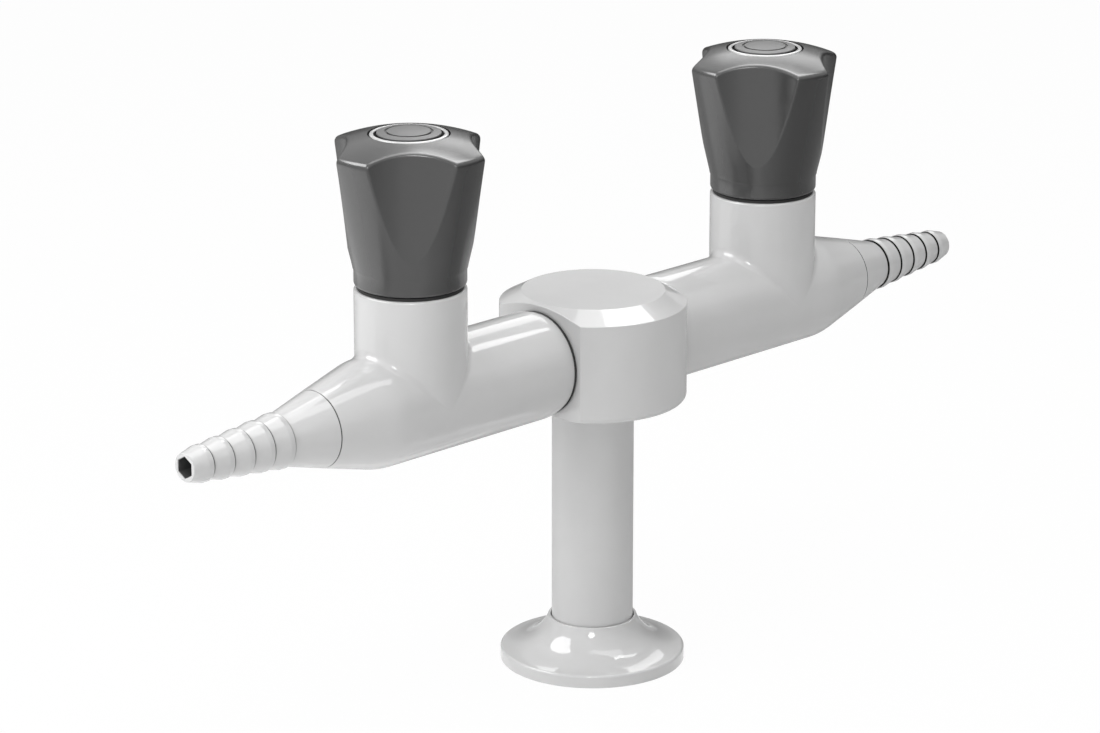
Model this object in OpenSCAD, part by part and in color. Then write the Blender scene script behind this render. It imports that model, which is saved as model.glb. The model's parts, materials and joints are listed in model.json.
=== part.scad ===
// Laboratory needle valve: two valves at 180 degrees on one bench column, with removable hose nozzles.
// The origin is the middle of the bench face, +Z is up, and the two arms lie along X.
// Each valve is drawn once, on the +X side, and the other is the same valve turned half a turn about Z.

/* [Column and bench flange] */
// Diameter of the column
column_d = 27; // [24:0.5:30]
// Height of the arms' axis above the bench
axis_h = 108; // [100:1:125]
// Bore of the column and the hub's riser
riser_d = 13; // [10:0.5:14]
// Diameter of the bench flange
flange_d = 61.4; // [58:0.2:70]
// Height of the flange's straight rim
flange_rim_h = 3.2; // [2.4:0.2:4]
// Height of the flange's neck
flange_neck_h = 15; // [13.5:0.5:18]
// Rise of the flange's outer part, in degrees
flange_rise = 8; // [5:1:12]
// Steepness of the flange's neck, in degrees
flange_neck_rise = 62; // [58:1:66]
// Radius of the flare between the two
flange_flare_r = 8.7; // [6:0.1:9.5]
// Diameter across the inlet thread's crests, G 3/8
inlet_d = 14.95; // [13:0.05:15.5]
// Length of the inlet thread
inlet_l = 12; // [9:0.5:12.5]

/* [Hub] */
// Diameter of the hub
hub_d = 61.5; // [60:0.5:66]
// Distance between the hub's two flat faces
hub_across = 49.2; // [47:0.2:51]
// Height of the hub's cylinder
hub_h = 32.9; // [31:0.1:36]
// Height of the hub's cone above the cylinder
hub_cone_h = 3.75; // [2.5:0.25:5]
// Diameter of the hub's top disc
hub_top_d = 47; // [42:0.5:50]
// Part of the hub's cylinder that lies below the arms' axis
hub_drop = 17; // [16.5:0.1:18]

/* [Valve body] */
// Distance from the column's axis to a spindle's axis
valve_x = 81.4; // [78:0.2:90]
// Diameter of the arm and of the upright stub
body_d = 35.7; // [34.6:0.1:36.4]
// Height of the stub's top above the arms' axis
stub_h = 37.4; // [36.6:0.2:40]
// Distance from the spindle's axis to where the taper starts
taper_x = 19.7; // [19:0.1:22]
// Half angle of the taper, in degrees
taper_deg = 14.5; // [13.5:0.25:15]
// Distance from the spindle's axis to the nozzle's seam
seam_x = 40.7; // [39.6:0.1:43]
// Thickness of the black seal between hub and arm
hub_seal_t = 1; // [0.6:0.1:1.5]
// How far the arm's hub end draws in
crown_in = 0.9; // [0.5:0.1:1.2]

/* [Hose nozzle] */
// Number of barbs
barbs = 5; // [3:1:5]
// Distance from one barb to the next
barb_pitch = 7.5; // [6.5:0.1:8.5]
// Diameter of the largest barb
barb_d = 17.8; // [17:0.1:18.6]
// Drop in diameter from one barb to the next
barb_drop = 1.5; // [1:0.1:1.6]
// Length of each barb's cylindrical land
barb_land = 1.75; // [1:0.05:2.5]
// Height of the step behind each barb
barb_step = 0.4; // [0.3:0.05:0.6]
// Width of the undercut groove behind each barb
barb_groove_w = 0.6; // [0.4:0.1:0.8]
// Distance from the seam to the first barb
barb_start = 15.9; // [15:0.1:17]
// Diameter of the nozzle's tip
tip_d = 9; // [8.4:0.1:10]
// Width across the flats of the key socket in the tip
key_af = 6; // [5.5:0.1:6.2]
// Depth of the key socket
key_depth = 12; // [8:0.5:16]
// Bore of the nozzle
nozzle_bore_d = 5.5; // [4.5:0.1:5.5]

/* [Knob] */
// Diameter of the knob's round skirt
skirt_d = 35.6; // [35:0.1:36.4]
// Gap between the knob and the stub
knob_gap = 1.1; // [0.9:0.1:1.5]
// Height of the knob
knob_h = 49.5; // [49:0.5:53]
// Diameter across the tips of two opposite lobes
lobe_d = 54.1; // [50:0.1:57]
// Height of the lobes' upper corner above the skirt's lower edge
lobe_h = 44.1; // [43:0.1:46]
// Lean of the lobes' faces, in degrees
lobe_lean = 13.2; // [11:0.1:14]
// Number of lobes
lobes = 4; // [3:1:5]
// Radius of each scallop
scallop_r = 28.6; // [24:0.1:32]
// Distance from the knob's axis to the bottom of a scallop
scallop_in = 19.5; // [18.6:0.1:20.5]
// Diameter of the index's seat in the top
index_d = 25.8; // [24:0.1:27]
// Width of the index's white band
index_ring_w = 1.45; // [1.2:0.05:1.8]
// Angle at which the left knob's lobes stand when shut, in degrees
left_knob_deg = 4; // [-22:1:22]
// Angle at which the right knob's lobes stand when shut, in degrees
right_knob_deg = -9; // [-22:1:22]

/* [Headwork] */
// Lift of the needle from shut to open
lift = 2.625; // [2:0.125:3]
// Diameter of the headwork's thread
headwork_d = 24; // [22.5:0.1:25]
// Diameter of the spindle's shaft
spindle_d = 9; // [8:0.1:9.5]
// Diameter of the needle's thread and shank
needle_d = 8; // [7.4:0.1:8.4]
// Diameter of the seat's orifice
orifice_d = 5; // [3.5:0.1:5.4]
// Half angle of the needle's cone, in degrees
needle_deg = 15; // [12:1:18]

/* [Clearances] */
// Radial clearance of a piece that turns or slides
run_gap = 0.05; // [0.02:0.01:0.08]
// Radial clearance of a screwed or pushed fit
fit_gap = 0.03; // [0.02:0.01:0.05]
// Axial clearance under a piece that turns
face_gap = 0.05; // [0.03:0.01:0.1]
// Gap between the flange's neck and the column
neck_gap = 0.35; // [0.2:0.05:0.6]

/* [Hidden] */
$fn = 96;
eps = 0.01;
column_r = column_d / 2;
riser_r = riser_d / 2;
hub_r = hub_d / 2;
body_r = body_d / 2;
skirt_r = skirt_d / 2;
hub_z = axis_h - hub_drop;
hub_face = hub_across / 2;

// Bench flange and column foot
recess_h = 2;
ledge_t = 2;
neck_wall = 0.8;
foot_z = recess_h + ledge_t;
bush_wall = 2.5;
bush_r = inlet_d / 2 + bush_wall;
bush_head_r = bush_r + 3;
bush_head_t = 1.8;
bush_z = recess_h - bush_head_t;
bush_end_t = 3.5;
bush_room = 1;
bush_top = bush_z + inlet_l + bush_end_t;
foot_bore_z = bush_top + bush_room;
gasket_in = 22;
gasket_w = 4.4;
gasket_t = 2;

// Column spigot in the hub
spigot_in = 2.5;
spigot_r = column_r - spigot_in;
spigot_h = 10;
spigot_groove = 1.6;
spigot_groove_w = 2.4;
spigot_groove_z = hub_z + spigot_h / 2;
spigot_seal_r = (spigot_groove - 2 * fit_gap) / 2;

// Hub bores and connecting nipple
hub_foot_r = 2;
cross_r = 6;
nipple_r = 8.3;
nipple_bore_r = 5;
nipple_in = 12;
arm_x = hub_face + hub_seal_t;
hub_seal_w = 5.2;
crown_l = 4.8;
crown_r = (crown_l * crown_l + crown_in * crown_in) / (2 * crown_in);
taper_blend_r = 28;

// Valve seat and chamber, heights above the arms' axis
chamber_r = 9;
chamber_drop = 4;
chamber_rise = 12;
chamber_floor = axis_h - chamber_drop;
chamber_top = axis_h + chamber_rise;
seat_r = 6;
seat_h = 5.8;
seat_below = 5;
seat_z = chamber_floor - seat_below;
seat_top = seat_z + seat_h;
feed_r = 3.5;
feed_below = 4.5;
feed_z = seat_z - feed_below;
feed_mouth_z = axis_h - 2;
outlet_r = 3.5;
socket_l = 12.5;
socket_r = nipple_r + run_gap;
seam_v = 0.15;
nozzle_seal_t = 1.5;
nozzle_seal_in = 1.35;
tip_in = 0.6;
barb_groove_t = 0.4;
nozzle_seal_r = socket_r + 2.4;
seal_ease = 0.3;
nipple_play = 0.3;
soft_edge = 0.3;

// Headwork
headwork_r = headwork_d / 2;
headwork_seal_t = 1;
bonnet_z = chamber_top + headwork_seal_t;
stub_edge_r = 0.8;
stub_z = axis_h + stub_h;
collar_r = headwork_r + 2.5;
collar_t = 1.6;
bonnet_hex_af = headwork_d;
bonnet_hex_t = 5.5;
bonnet_bore_r = 8.5;
bush_t = 6;
spindle_r = spindle_d / 2;
spindle_foot_z = bonnet_z + bush_t + face_gap;
washer_t = 0.9;
bonnet_step_z = stub_z - 1.4;
washer_z = bonnet_step_z - face_gap - washer_t;
spindle_step_z = washer_z - face_gap;
neck_r = 9.5;
neck_z = stub_z + collar_t + bonnet_hex_t;
packing_r = 7.05;
packing_t = 4;
packing_in = 3.5;
packing_l = 7;
packing_z = neck_z + packing_in;
neck_top = packing_z + packing_l;
gland_af = 16;
gland_t = 4.9;
gland_head_z = neck_top + 0.1;
gland_top = gland_head_z + gland_t;
glide_t = 0.9;
glide_w = 2.4;

// Needle
needle_r = needle_d / 2;
needle_hex_af = needle_d + 1;
needle_tip_l = 5.3;
needle_seat_r = orifice_d / 2 - run_gap;
needle_shoulder_z = seat_top + 0.6;
needle_tip_z = seat_top - needle_tip_l;
needle_hex_z = axis_h + 4;
needle_hex_top = spindle_foot_z - lift - face_gap;
needle_thread_l = 14;
needle_top = needle_hex_top + needle_thread_l;

// Knob
knob_z = stub_z + knob_gap;
knob_top = knob_z + knob_h;
lobe_r = lobe_d / 2;
lobe_z = knob_z + lobe_h;
lobe_foot_z = lobe_z - (lobe_r - skirt_r) / tan(lobe_lean);
skirt_blend_r = 21.8;
dome_r = 68;
lobe_edge_r = 2;
skirt_edge_r = 1.2;
cavity_r = collar_r + 0.8;
boss_r = 9;
boss_z = gland_top + 1.5;
cavity_h = 39;
cavity_top = knob_z + cavity_h;
square_af = spindle_d * 0.69;
square_z = boss_z - 0.5;
square_l = 12.5;
square_top = square_z + square_l;
insert_r = 6.5;
web_t = 1.5;
insert_top = square_top + face_gap + web_t;
screw_r = 2;
screw_head_r = 4.5;
screw_head_t = 3.5;
screw_l = 11;
index_r = index_d / 2;
index_sink = 0.1;
index_t = 2.4;
index_floor_z = dome_z(index_r) - index_sink - index_t;
index_foot_t = 0.8;
band_gap = 0.5;
band_r = index_r - band_gap;
band_in_r = band_r - index_ring_w;
disc_gap = 0.8;
disc_r = band_in_r - disc_gap;
disc_line_w = 0.7;
disc_line_r = disc_r * 0.68;
disc_line_t = 0.5;

// Height of the knob's dome at distance r from its axis
function dome_z(r) = knob_top - dome_r + sqrt(dome_r * dome_r - r * r);

// Radius of the arm's taper at distance x from the spindle's axis
function taper_r(x) = body_r - (x - taper_x) * tan(taper_deg);

function unit(v) = v / norm(v);

// Half of the angle at corner b of the outline a, b, c
function half_angle(a, b, c) = acos(unit(a - b) * unit(c - b)) / 2;

// Distance from corner b to where an arc of radius r leaves its sides
function tangent_l(a, b, c, r) = r / tan(half_angle(a, b, c));

// Centre of that arc
function arc_centre(a, b, c, r) = b + r / sin(half_angle(a, b, c)) * unit(unit(a - b) + unit(c - b));

// True where an outline that runs anticlockwise turns left at b
function is_convex(a, b, c) = (b[0] - a[0]) * (c[1] - b[1]) - (b[1] - a[1]) * (c[0] - b[0]) > 0;

// The triangle between an arc's two ends and its corner
module corner_piece(a, b, c, r) {
    t = tangent_l(a, b, c, r);
    intersection() {
        polygon([b + t * unit(a - b), b, b + t * unit(c - b)]);
        translate(arc_centre(a, b, c, r)) circle(r);
    }
}

// An anticlockwise outline of [x, y, radius] corners, each rounded by a true arc
module soft_outline(corners) {
    n = len(corners);
    p = [for (c = corners) [c[0], c[1]]];
    cut = [for (i = [0 : n - 1])
        let (a = p[(i + n - 1) % n], b = p[i], c = p[(i + 1) % n], r = corners[i][2])
        each r > 0
            ? [b + tangent_l(a, b, c, r) * unit(a - b), b + tangent_l(a, b, c, r) * unit(c - b)]
            : [b]];
    difference() {
        union() {
            polygon(cut);
            for (i = [0 : n - 1])
                if (corners[i][2] > 0 && is_convex(p[(i + n - 1) % n], p[i], p[(i + 1) % n]))
                    corner_piece(p[(i + n - 1) % n], p[i], p[(i + 1) % n], corners[i][2]);
        }
        for (i = [0 : n - 1])
            if (corners[i][2] > 0 && !is_convex(p[(i + n - 1) % n], p[i], p[(i + 1) % n]))
                corner_piece(p[(i + n - 1) % n], p[i], p[(i + 1) % n], corners[i][2]);
    }
}

// A ring about Z
module ring(r_in, r_out, z, h) {
    translate([0, 0, z]) difference() {
        cylinder(r = r_out, h = h);
        translate([0, 0, -eps]) cylinder(r = r_in, h = h + 2 * eps);
    }
}

// A round hole about Z, open at both ends
module hole(r, z, h) {
    translate([0, 0, z]) cylinder(r = r, h = h);
}

// Turns a form about Z into one about X, its base at x
module along_x(x) {
    translate([x, 0, axis_h]) rotate([0, 90, 0]) children();
}

// A prism with six sides about Z, by its width across flats
module hexagon(af, z, h) {
    translate([0, 0, z]) cylinder(d = af / cos(30), h = h, $fn = 6);
}

module left() {
    rotate([0, 0, 180]) children();
}

module on_spindle() {
    translate([valve_x, 0, 0]) children();
}

// Bench side

module bench_flange() {
    neck_r_top = column_r + neck_gap + neck_wall;
    rim_r = flange_d / 2;
    // the gentle outer cone and the steep neck meet at this corner, which the flare rounds
    flare_x = (flange_neck_h + neck_r_top * tan(flange_neck_rise) - flange_rim_h - rim_r * tan(flange_rise))
            / (tan(flange_neck_rise) - tan(flange_rise));
    flare_z = flange_rim_h + (rim_r - flare_x) * tan(flange_rise);
    color("whitesmoke") rotate_extrude() difference() {
        soft_outline([
            [bush_r + 2 * fit_gap, 0, 0],
            [rim_r, 0, soft_edge],
            [rim_r, flange_rim_h, 0.6],
            [flare_x, flare_z, flange_flare_r],
            [neck_r_top, flange_neck_h, soft_edge],
            [column_r + neck_gap, flange_neck_h, 0],
            [column_r + neck_gap, foot_z, 0],
            [bush_r + 2 * fit_gap, foot_z, 0]]);
        translate([0, -eps]) square([bush_head_r + 0.5, recess_h + eps]);
        translate([gasket_in, -eps]) square([gasket_w, gasket_t + eps]);
    }
}

module bench_gasket() {
    color("dimgray") ring(gasket_in + fit_gap, gasket_in + gasket_w - fit_gap, 0, gasket_t);
}

module column() {
    color("silver") rotate_extrude() difference() {
        soft_outline([
            [riser_r, foot_z, 0],
            [column_r, foot_z, soft_edge],
            [column_r, hub_z, 0],
            [spigot_r, hub_z, 0],
            [spigot_r, hub_z + spigot_h, 0.8],
            [riser_r, hub_z + spigot_h, 0]]);
        translate([0, foot_z - eps]) square([bush_r + fit_gap, foot_bore_z - foot_z + eps]);
        translate([spigot_r - spigot_groove, spigot_groove_z - spigot_groove_w / 2])
            square([spigot_groove + eps, spigot_groove_w]);
    }
}

module inlet_bush() {
    color("goldenrod") difference() {
        union() {
            hole(bush_head_r, bush_z, bush_head_t);
            hole(bush_r, bush_z, bush_top - bush_z);
        }
        hole(inlet_d / 2, bush_z - eps, inlet_l + eps);
        hole(riser_r - 0.5, bush_z, bush_top);
    }
}

module column_seal() {
    color("black") translate([0, 0, spigot_groove_z]) rotate_extrude()
        translate([spigot_r - spigot_groove / 2, 0]) circle(spigot_seal_r, $fn = 24);
}

module hub() {
    color("gainsboro") difference() {
        intersection() {
            rotate_extrude() soft_outline([
                [0, hub_z, 0],
                [hub_r, hub_z, hub_foot_r],
                [hub_r, hub_z + hub_h, 0],
                [hub_top_d / 2, hub_z + hub_h + hub_cone_h, 0],
                [0, hub_z + hub_h + hub_cone_h, 0]]);
            translate([-hub_face, -hub_r, hub_z]) cube([hub_across, hub_d, hub_h + hub_cone_h]);
        }
        hole(spigot_r + fit_gap, hub_z - eps, spigot_h + 0.2);
        hole(riser_r, hub_z, axis_h - hub_z);
        along_x(-hub_face - eps) cylinder(r = cross_r, h = hub_across + 2 * eps);
        for (turn = [0, 180]) rotate([0, 0, turn])
            along_x(hub_face - nipple_in) cylinder(r = socket_r, h = nipple_in + eps);
    }
}

// One valve, on the +X side

module valve_hub_seal() {
    r = body_r - crown_in + 0.2;
    along_x(hub_face) difference() {
        cylinder(r = r, h = hub_seal_t);
        translate([0, 0, -eps]) cylinder(r = r - hub_seal_w, h = hub_seal_t + 2 * eps);
    }
}

module valve_nipple() {
    l = 2 * (nipple_in - nipple_play) + hub_seal_t;
    along_x(hub_face - nipple_in + nipple_play) rotate_extrude() soft_outline([
        [nipple_bore_r, 0, 0],
        [nipple_r, 0, 0.8],
        [nipple_r, l, 0.8],
        [nipple_bore_r, l, 0]]);
}

// Arm and taper as one turned form about X
module arm_form() {
    end = seam_x - seam_v + valve_x - arm_x;
    corner = taper_x + valve_x - arm_x;
    along_x(arm_x) rotate_extrude() difference() {
        soft_outline([
            [0, 0, 0],
            [body_r, 0, 0],
            [body_r, corner, taper_blend_r],
            [taper_r(seam_x - seam_v), end, seam_v],
            [0, end, 0]]);
        // the hub end draws in on a large arc
        difference() {
            translate([body_r - crown_in, -eps]) square([crown_in + eps, crown_l + eps]);
            translate([body_r - crown_r, crown_l]) circle(crown_r, $fn = 192);
        }
    }
}

module valve_body() {
    feed_run = valve_x - (arm_x + nipple_in);
    feed_fall = feed_mouth_z - (feed_z + feed_r);
    difference() {
        union() {
            arm_form();
            on_spindle() translate([0, 0, axis_h]) rotate_extrude() soft_outline([
                [0, 0, 0],
                [body_r, 0, 0],
                [body_r, stub_h, stub_edge_r],
                [0, stub_h, 0]]);
        }
        // nipple socket and the feed, drilled down from it to below the seat
        along_x(arm_x - eps) cylinder(r = socket_r, h = nipple_in + eps);
        translate([arm_x + nipple_in - 1, 0, feed_mouth_z]) rotate([0, 90 + atan(feed_fall / feed_run), 0])
            cylinder(r = feed_r, h = norm([feed_run, feed_fall]) + 1);
        on_spindle() {
            hole(seat_r - 1.5, feed_z, seat_z - feed_z + eps);
            hole(seat_r + fit_gap, seat_z, chamber_floor - seat_z + eps);
            hole(chamber_r, chamber_floor, chamber_top - chamber_floor + eps);
            hole(headwork_r + fit_gap, chamber_top, stub_z - chamber_top + eps);
        }
        // outlet and nozzle socket
        along_x(valve_x) cylinder(r = outlet_r, h = seam_x);
        along_x(valve_x + seam_x - socket_l) cylinder(r = socket_r, h = socket_l);
        along_x(valve_x + seam_x - nozzle_seal_in) cylinder(r = nozzle_seal_r + fit_gap, h = nozzle_seal_t + 1);
    }
}

module valve_nozzle_seal() {
    along_x(valve_x + seam_x - nozzle_seal_in) difference() {
        cylinder(r = nozzle_seal_r, h = nozzle_seal_t);
        translate([0, 0, -eps]) cylinder(r = socket_r + seal_ease, h = nozzle_seal_t + 2 * eps);
    }
}

// Radius of a barb's land and its distance from the seam
function barb_r(i) = barb_d / 2 - i * barb_drop / 2;
function barb_x(i) = barb_start + i * barb_pitch;

// Radius at the foot of the step behind a barb, where the taper or the slope before it ends
function barb_foot_r(i) = i == 0 ? taper_r(seam_x + barb_start) : barb_r(i) - barb_step;

module valve_nozzle() {
    tip = barb_x(barbs) - tip_in;
    shank = socket_l - 0.5;
    outline = concat(
        [[0, -shank, 0], [nipple_r, -shank, 0.6], [nipple_r, seam_v, 0], [taper_r(seam_x + seam_v), seam_v, seam_v]],
        [for (i = [0 : barbs - 1])
            let (foot_r = barb_foot_r(i), groove_x = barb_x(i) - barb_groove_w)
            each [[foot_r, groove_x, 0],
                  [foot_r - barb_groove_t, groove_x, 0],
                  [foot_r - barb_groove_t, barb_x(i), 0],
                  [barb_r(i), barb_x(i), 0.15],
                  [barb_r(i), barb_x(i) + barb_land, 0.6]]],
        [[tip_d / 2, tip, 0.5], [0, tip, 0]]);
    along_x(valve_x + seam_x) difference() {
        rotate_extrude() soft_outline(outline);
        hole(nozzle_bore_d / 2, -shank - eps, shank + tip + 2 * eps);
        hexagon(key_af, tip - key_depth, key_depth + eps);
        translate([0, 0, -shank - eps]) cylinder(r1 = nozzle_bore_d / 2 + 1.5, r2 = nozzle_bore_d / 2, h = 4);
    }
}

module valve_seat() {
    on_spindle() difference() {
        hole(seat_r, seat_z, seat_h);
        hole(orifice_d / 2, seat_z - eps, seat_h + 2 * eps);
        translate([0, 0, seat_z - eps]) cylinder(r1 = orifice_d / 2 + 1, r2 = orifice_d / 2, h = 1.5);
    }
}

module valve_bonnet_seal() {
    on_spindle() ring(bonnet_bore_r + 0.8, headwork_r - fit_gap, chamber_top, headwork_seal_t);
}

module valve_guide_bush() {
    on_spindle() difference() {
        hole(bonnet_bore_r - fit_gap, bonnet_z, bush_t);
        hexagon(needle_hex_af + 2 * run_gap, bonnet_z - eps, bush_t + 2 * eps);
    }
}

module valve_bonnet() {
    on_spindle() difference() {
        union() {
            hole(headwork_r, bonnet_z, stub_z - bonnet_z);
            hole(collar_r, stub_z, collar_t);
            intersection() {
                hexagon(bonnet_hex_af, stub_z + collar_t, bonnet_hex_t);
                // the cone that turns the hexagon's corners off
                translate([0, 0, stub_z + collar_t])
                    cylinder(r1 = bonnet_hex_af / 2 + bonnet_hex_t, r2 = bonnet_hex_af / 2, h = bonnet_hex_t);
            }
            hole(neck_r, stub_z + collar_t, neck_top - stub_z - collar_t);
        }
        hole(bonnet_bore_r, bonnet_z - eps, bonnet_step_z - bonnet_z + eps);
        hole(spindle_r + run_gap, bonnet_z, neck_top);
        hole(packing_r, packing_z, neck_top);
    }
}

module valve_thrust_washer() {
    on_spindle() ring(spindle_r + run_gap, bonnet_bore_r - fit_gap, washer_z, washer_t);
}

module valve_packing() {
    on_spindle() ring(spindle_r + run_gap, packing_r - fit_gap, packing_z, packing_t);
}

module valve_gland_nut() {
    on_spindle() difference() {
        union() {
            hole(packing_r - fit_gap, packing_z + packing_t, gland_head_z - packing_z - packing_t);
            hexagon(gland_af, gland_head_z, gland_t);
        }
        hole(spindle_r + 2 * run_gap, packing_z, gland_top);
    }
}

module valve_glide_ring() {
    on_spindle() ring(collar_r + fit_gap, collar_r + glide_w, stub_z, glide_t);
}

module square_bar(af, z, h) {
    translate([-af / 2, -af / 2, z]) cube([af, af, h]);
}

module valve_spindle() {
    on_spindle() difference() {
        union() {
            hole(bonnet_bore_r - run_gap, spindle_foot_z, spindle_step_z - spindle_foot_z);
            hole(spindle_r, spindle_foot_z, square_z - spindle_foot_z);
            square_bar(square_af, square_z, square_top - square_z);
        }
        hole(needle_r + run_gap, spindle_foot_z - eps, needle_top + lift + 0.5 - spindle_foot_z);
        hole(screw_r + fit_gap, square_z, square_top);
    }
}

module valve_needle() {
    slope = tan(needle_deg);
    on_spindle() union() {
        translate([0, 0, needle_tip_z]) cylinder(
            r1 = needle_seat_r - needle_tip_l * slope,
            r2 = needle_seat_r + (needle_shoulder_z - seat_top) * slope,
            h = needle_shoulder_z - needle_tip_z);
        hole(needle_r, needle_shoulder_z, needle_top - needle_shoulder_z);
        hexagon(needle_hex_af, needle_hex_z, needle_hex_top - needle_hex_z);
    }
}

// The knob: a turned form with a concave scallop between each two lobes
module knob_form() {
    dome_deg = asin(lobe_r / dome_r);
    dome_corner = dome_r * tan(dome_deg / 2);
    corner_z = dome_z(lobe_r);
    difference() {
        intersection() {
            rotate_extrude() soft_outline([
                [0, knob_z, 0],
                [skirt_r, knob_z, skirt_edge_r],
                [skirt_r, lobe_foot_z, skirt_blend_r],
                [lobe_r, corner_z, lobe_edge_r],
                [dome_corner, knob_top, 0],
                [0, knob_top, 0]]);
            translate([0, 0, knob_top - dome_r]) sphere(r = dome_r, $fn = 160);
        }
        for (i = [0 : lobes - 1]) rotate([0, 0, (i + 0.5) * 360 / lobes])
            translate([scallop_in + scallop_r, 0, knob_z - eps])
                cylinder(r = scallop_r, h = knob_h + 1, $fn = 160);
    }
}

module valve_knob(deg) {
    on_spindle() rotate([0, 0, deg]) difference() {
        knob_form();
        // the cavity over the headwork, with the boss for the insert standing in it
        difference() {
            hole(cavity_r, knob_z - eps, cavity_top - knob_z);
            hole(boss_r, boss_z, cavity_top);
        }
        hole(insert_r + fit_gap, boss_z - eps, insert_top - boss_z + eps);
        hole(screw_head_r + 0.7, boss_z, knob_h);
        hole(index_r + fit_gap, index_floor_z, knob_h);
    }
}

module valve_knob_insert(deg) {
    on_spindle() rotate([0, 0, deg]) difference() {
        hole(insert_r, boss_z, insert_top - boss_z);
        square_bar(square_af + 2 * run_gap, boss_z - eps, square_top + face_gap - boss_z + eps);
        hole(screw_r + 0.1, boss_z, insert_top);
    }
}

module valve_knob_screw() {
    on_spindle() difference() {
        union() {
            hole(screw_r, insert_top - screw_l, screw_l + eps);
            hole(screw_head_r, insert_top, screw_head_t);
        }
        hexagon(3, insert_top + screw_head_t - 2, 2 + eps);
    }
}

// The index's band on a wider foot, which fills the seat in the knob and centres the disc
module valve_index_ring() {
    foot_in_r = disc_r + fit_gap;
    foot_top_z = index_floor_z + index_foot_t;
    on_spindle() rotate_extrude() soft_outline([
        [foot_in_r, index_floor_z, 0],
        [index_r, index_floor_z, 0],
        [index_r, foot_top_z, 0],
        [band_r, foot_top_z, 0],
        [band_r, dome_z(band_r) - index_sink, soft_edge],
        [band_in_r, dome_z(band_in_r) - index_sink, soft_edge],
        [band_in_r, foot_top_z, 0],
        [foot_in_r, foot_top_z, 0]]);
}

// The index's disc carries on the knob's dome, with one groove round its middle
module valve_index_disc() {
    on_spindle() difference() {
        intersection() {
            hole(disc_r, index_floor_z, knob_top - index_floor_z);
            translate([0, 0, knob_top - dome_r]) sphere(r = dome_r, $fn = 160);
        }
        ring(disc_line_r, disc_line_r + disc_line_w, dome_z(disc_line_r) - disc_line_t, index_t);
    }
}

// The named pieces

module left_body() { color("whitesmoke") left() valve_body(); }
module left_hub_seal() { color("black") left() valve_hub_seal(); }
module left_nipple() { color("goldenrod") left() valve_nipple(); }
module left_seat() { color("ivory") left() valve_seat(); }
module left_bonnet() { color("goldenrod") left() valve_bonnet(); }
module left_bonnet_seal() { color("black") left() valve_bonnet_seal(); }
module left_guide_bush() { color("goldenrod") left() valve_guide_bush(); }
module left_thrust_washer() { color("ivory") left() valve_thrust_washer(); }
module left_packing() { color("ivory") left() valve_packing(); }
module left_gland_nut() { color("goldenrod") left() valve_gland_nut(); }
module left_glide_ring() { color("black") left() valve_glide_ring(); }
module left_spindle() { color("silver") left() valve_spindle(); }
module left_needle() { color("silver") left() valve_needle(); }
module left_knob() { color("dimgray") left() valve_knob(left_knob_deg); }
module left_knob_insert() { color("goldenrod") left() valve_knob_insert(0); }
module left_knob_screw() { color("silver") left() valve_knob_screw(); }
module left_index_ring() { color("white") left() valve_index_ring(); }
module left_index_disc() { color("darkgray") left() valve_index_disc(); }
module left_nozzle() { color("whitesmoke") left() valve_nozzle(); }
module left_nozzle_seal() { color("black") left() valve_nozzle_seal(); }

module right_body() { color("whitesmoke") valve_body(); }
module right_hub_seal() { color("black") valve_hub_seal(); }
module right_nipple() { color("goldenrod") valve_nipple(); }
module right_seat() { color("ivory") valve_seat(); }
module right_bonnet() { color("goldenrod") valve_bonnet(); }
module right_bonnet_seal() { color("black") valve_bonnet_seal(); }
module right_guide_bush() { color("goldenrod") valve_guide_bush(); }
module right_thrust_washer() { color("ivory") valve_thrust_washer(); }
module right_packing() { color("ivory") valve_packing(); }
module right_gland_nut() { color("goldenrod") valve_gland_nut(); }
module right_glide_ring() { color("black") valve_glide_ring(); }
module right_spindle() { color("silver") valve_spindle(); }
module right_needle() { color("silver") valve_needle(); }
module right_knob() { color("dimgray") valve_knob(right_knob_deg); }
module right_knob_insert() { color("goldenrod") valve_knob_insert(0); }
module right_knob_screw() { color("silver") valve_knob_screw(); }
module right_index_ring() { color("white") valve_index_ring(); }
module right_index_disc() { color("darkgray") valve_index_disc(); }
module right_nozzle() { color("whitesmoke") valve_nozzle(); }
module right_nozzle_seal() { color("black") valve_nozzle_seal(); }

bench_flange();
bench_gasket();
column();
inlet_bush();
column_seal();
hub();
left_body();
left_hub_seal();
left_nipple();
left_seat();
left_bonnet();
left_bonnet_seal();
left_guide_bush();
left_thrust_washer();
left_packing();
left_gland_nut();
left_glide_ring();
left_spindle();
left_needle();
left_knob();
left_knob_insert();
left_knob_screw();
left_index_ring();
left_index_disc();
left_nozzle();
left_nozzle_seal();
right_body();
right_hub_seal();
right_nipple();
right_seat();
right_bonnet();
right_bonnet_seal();
right_guide_bush();
right_thrust_washer();
right_packing();
right_gland_nut();
right_glide_ring();
right_spindle();
right_needle();
right_knob();
right_knob_insert();
right_knob_screw();
right_index_ring();
right_index_disc();
right_nozzle();
right_nozzle_seal();
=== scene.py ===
# %% [markdown]
# # A laboratory needle valve
#
# Two needle valves leave one hub in opposite directions, on a column that stands on a bench. The frame
# below brings in the solid model. Its hidden pieces stay as they are, and the shell that the eye sees is
# drawn again here as smooth surfaces, because a glossy coat shows every facet and wants soft edges.

# %% The frame
import json
import math

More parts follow.
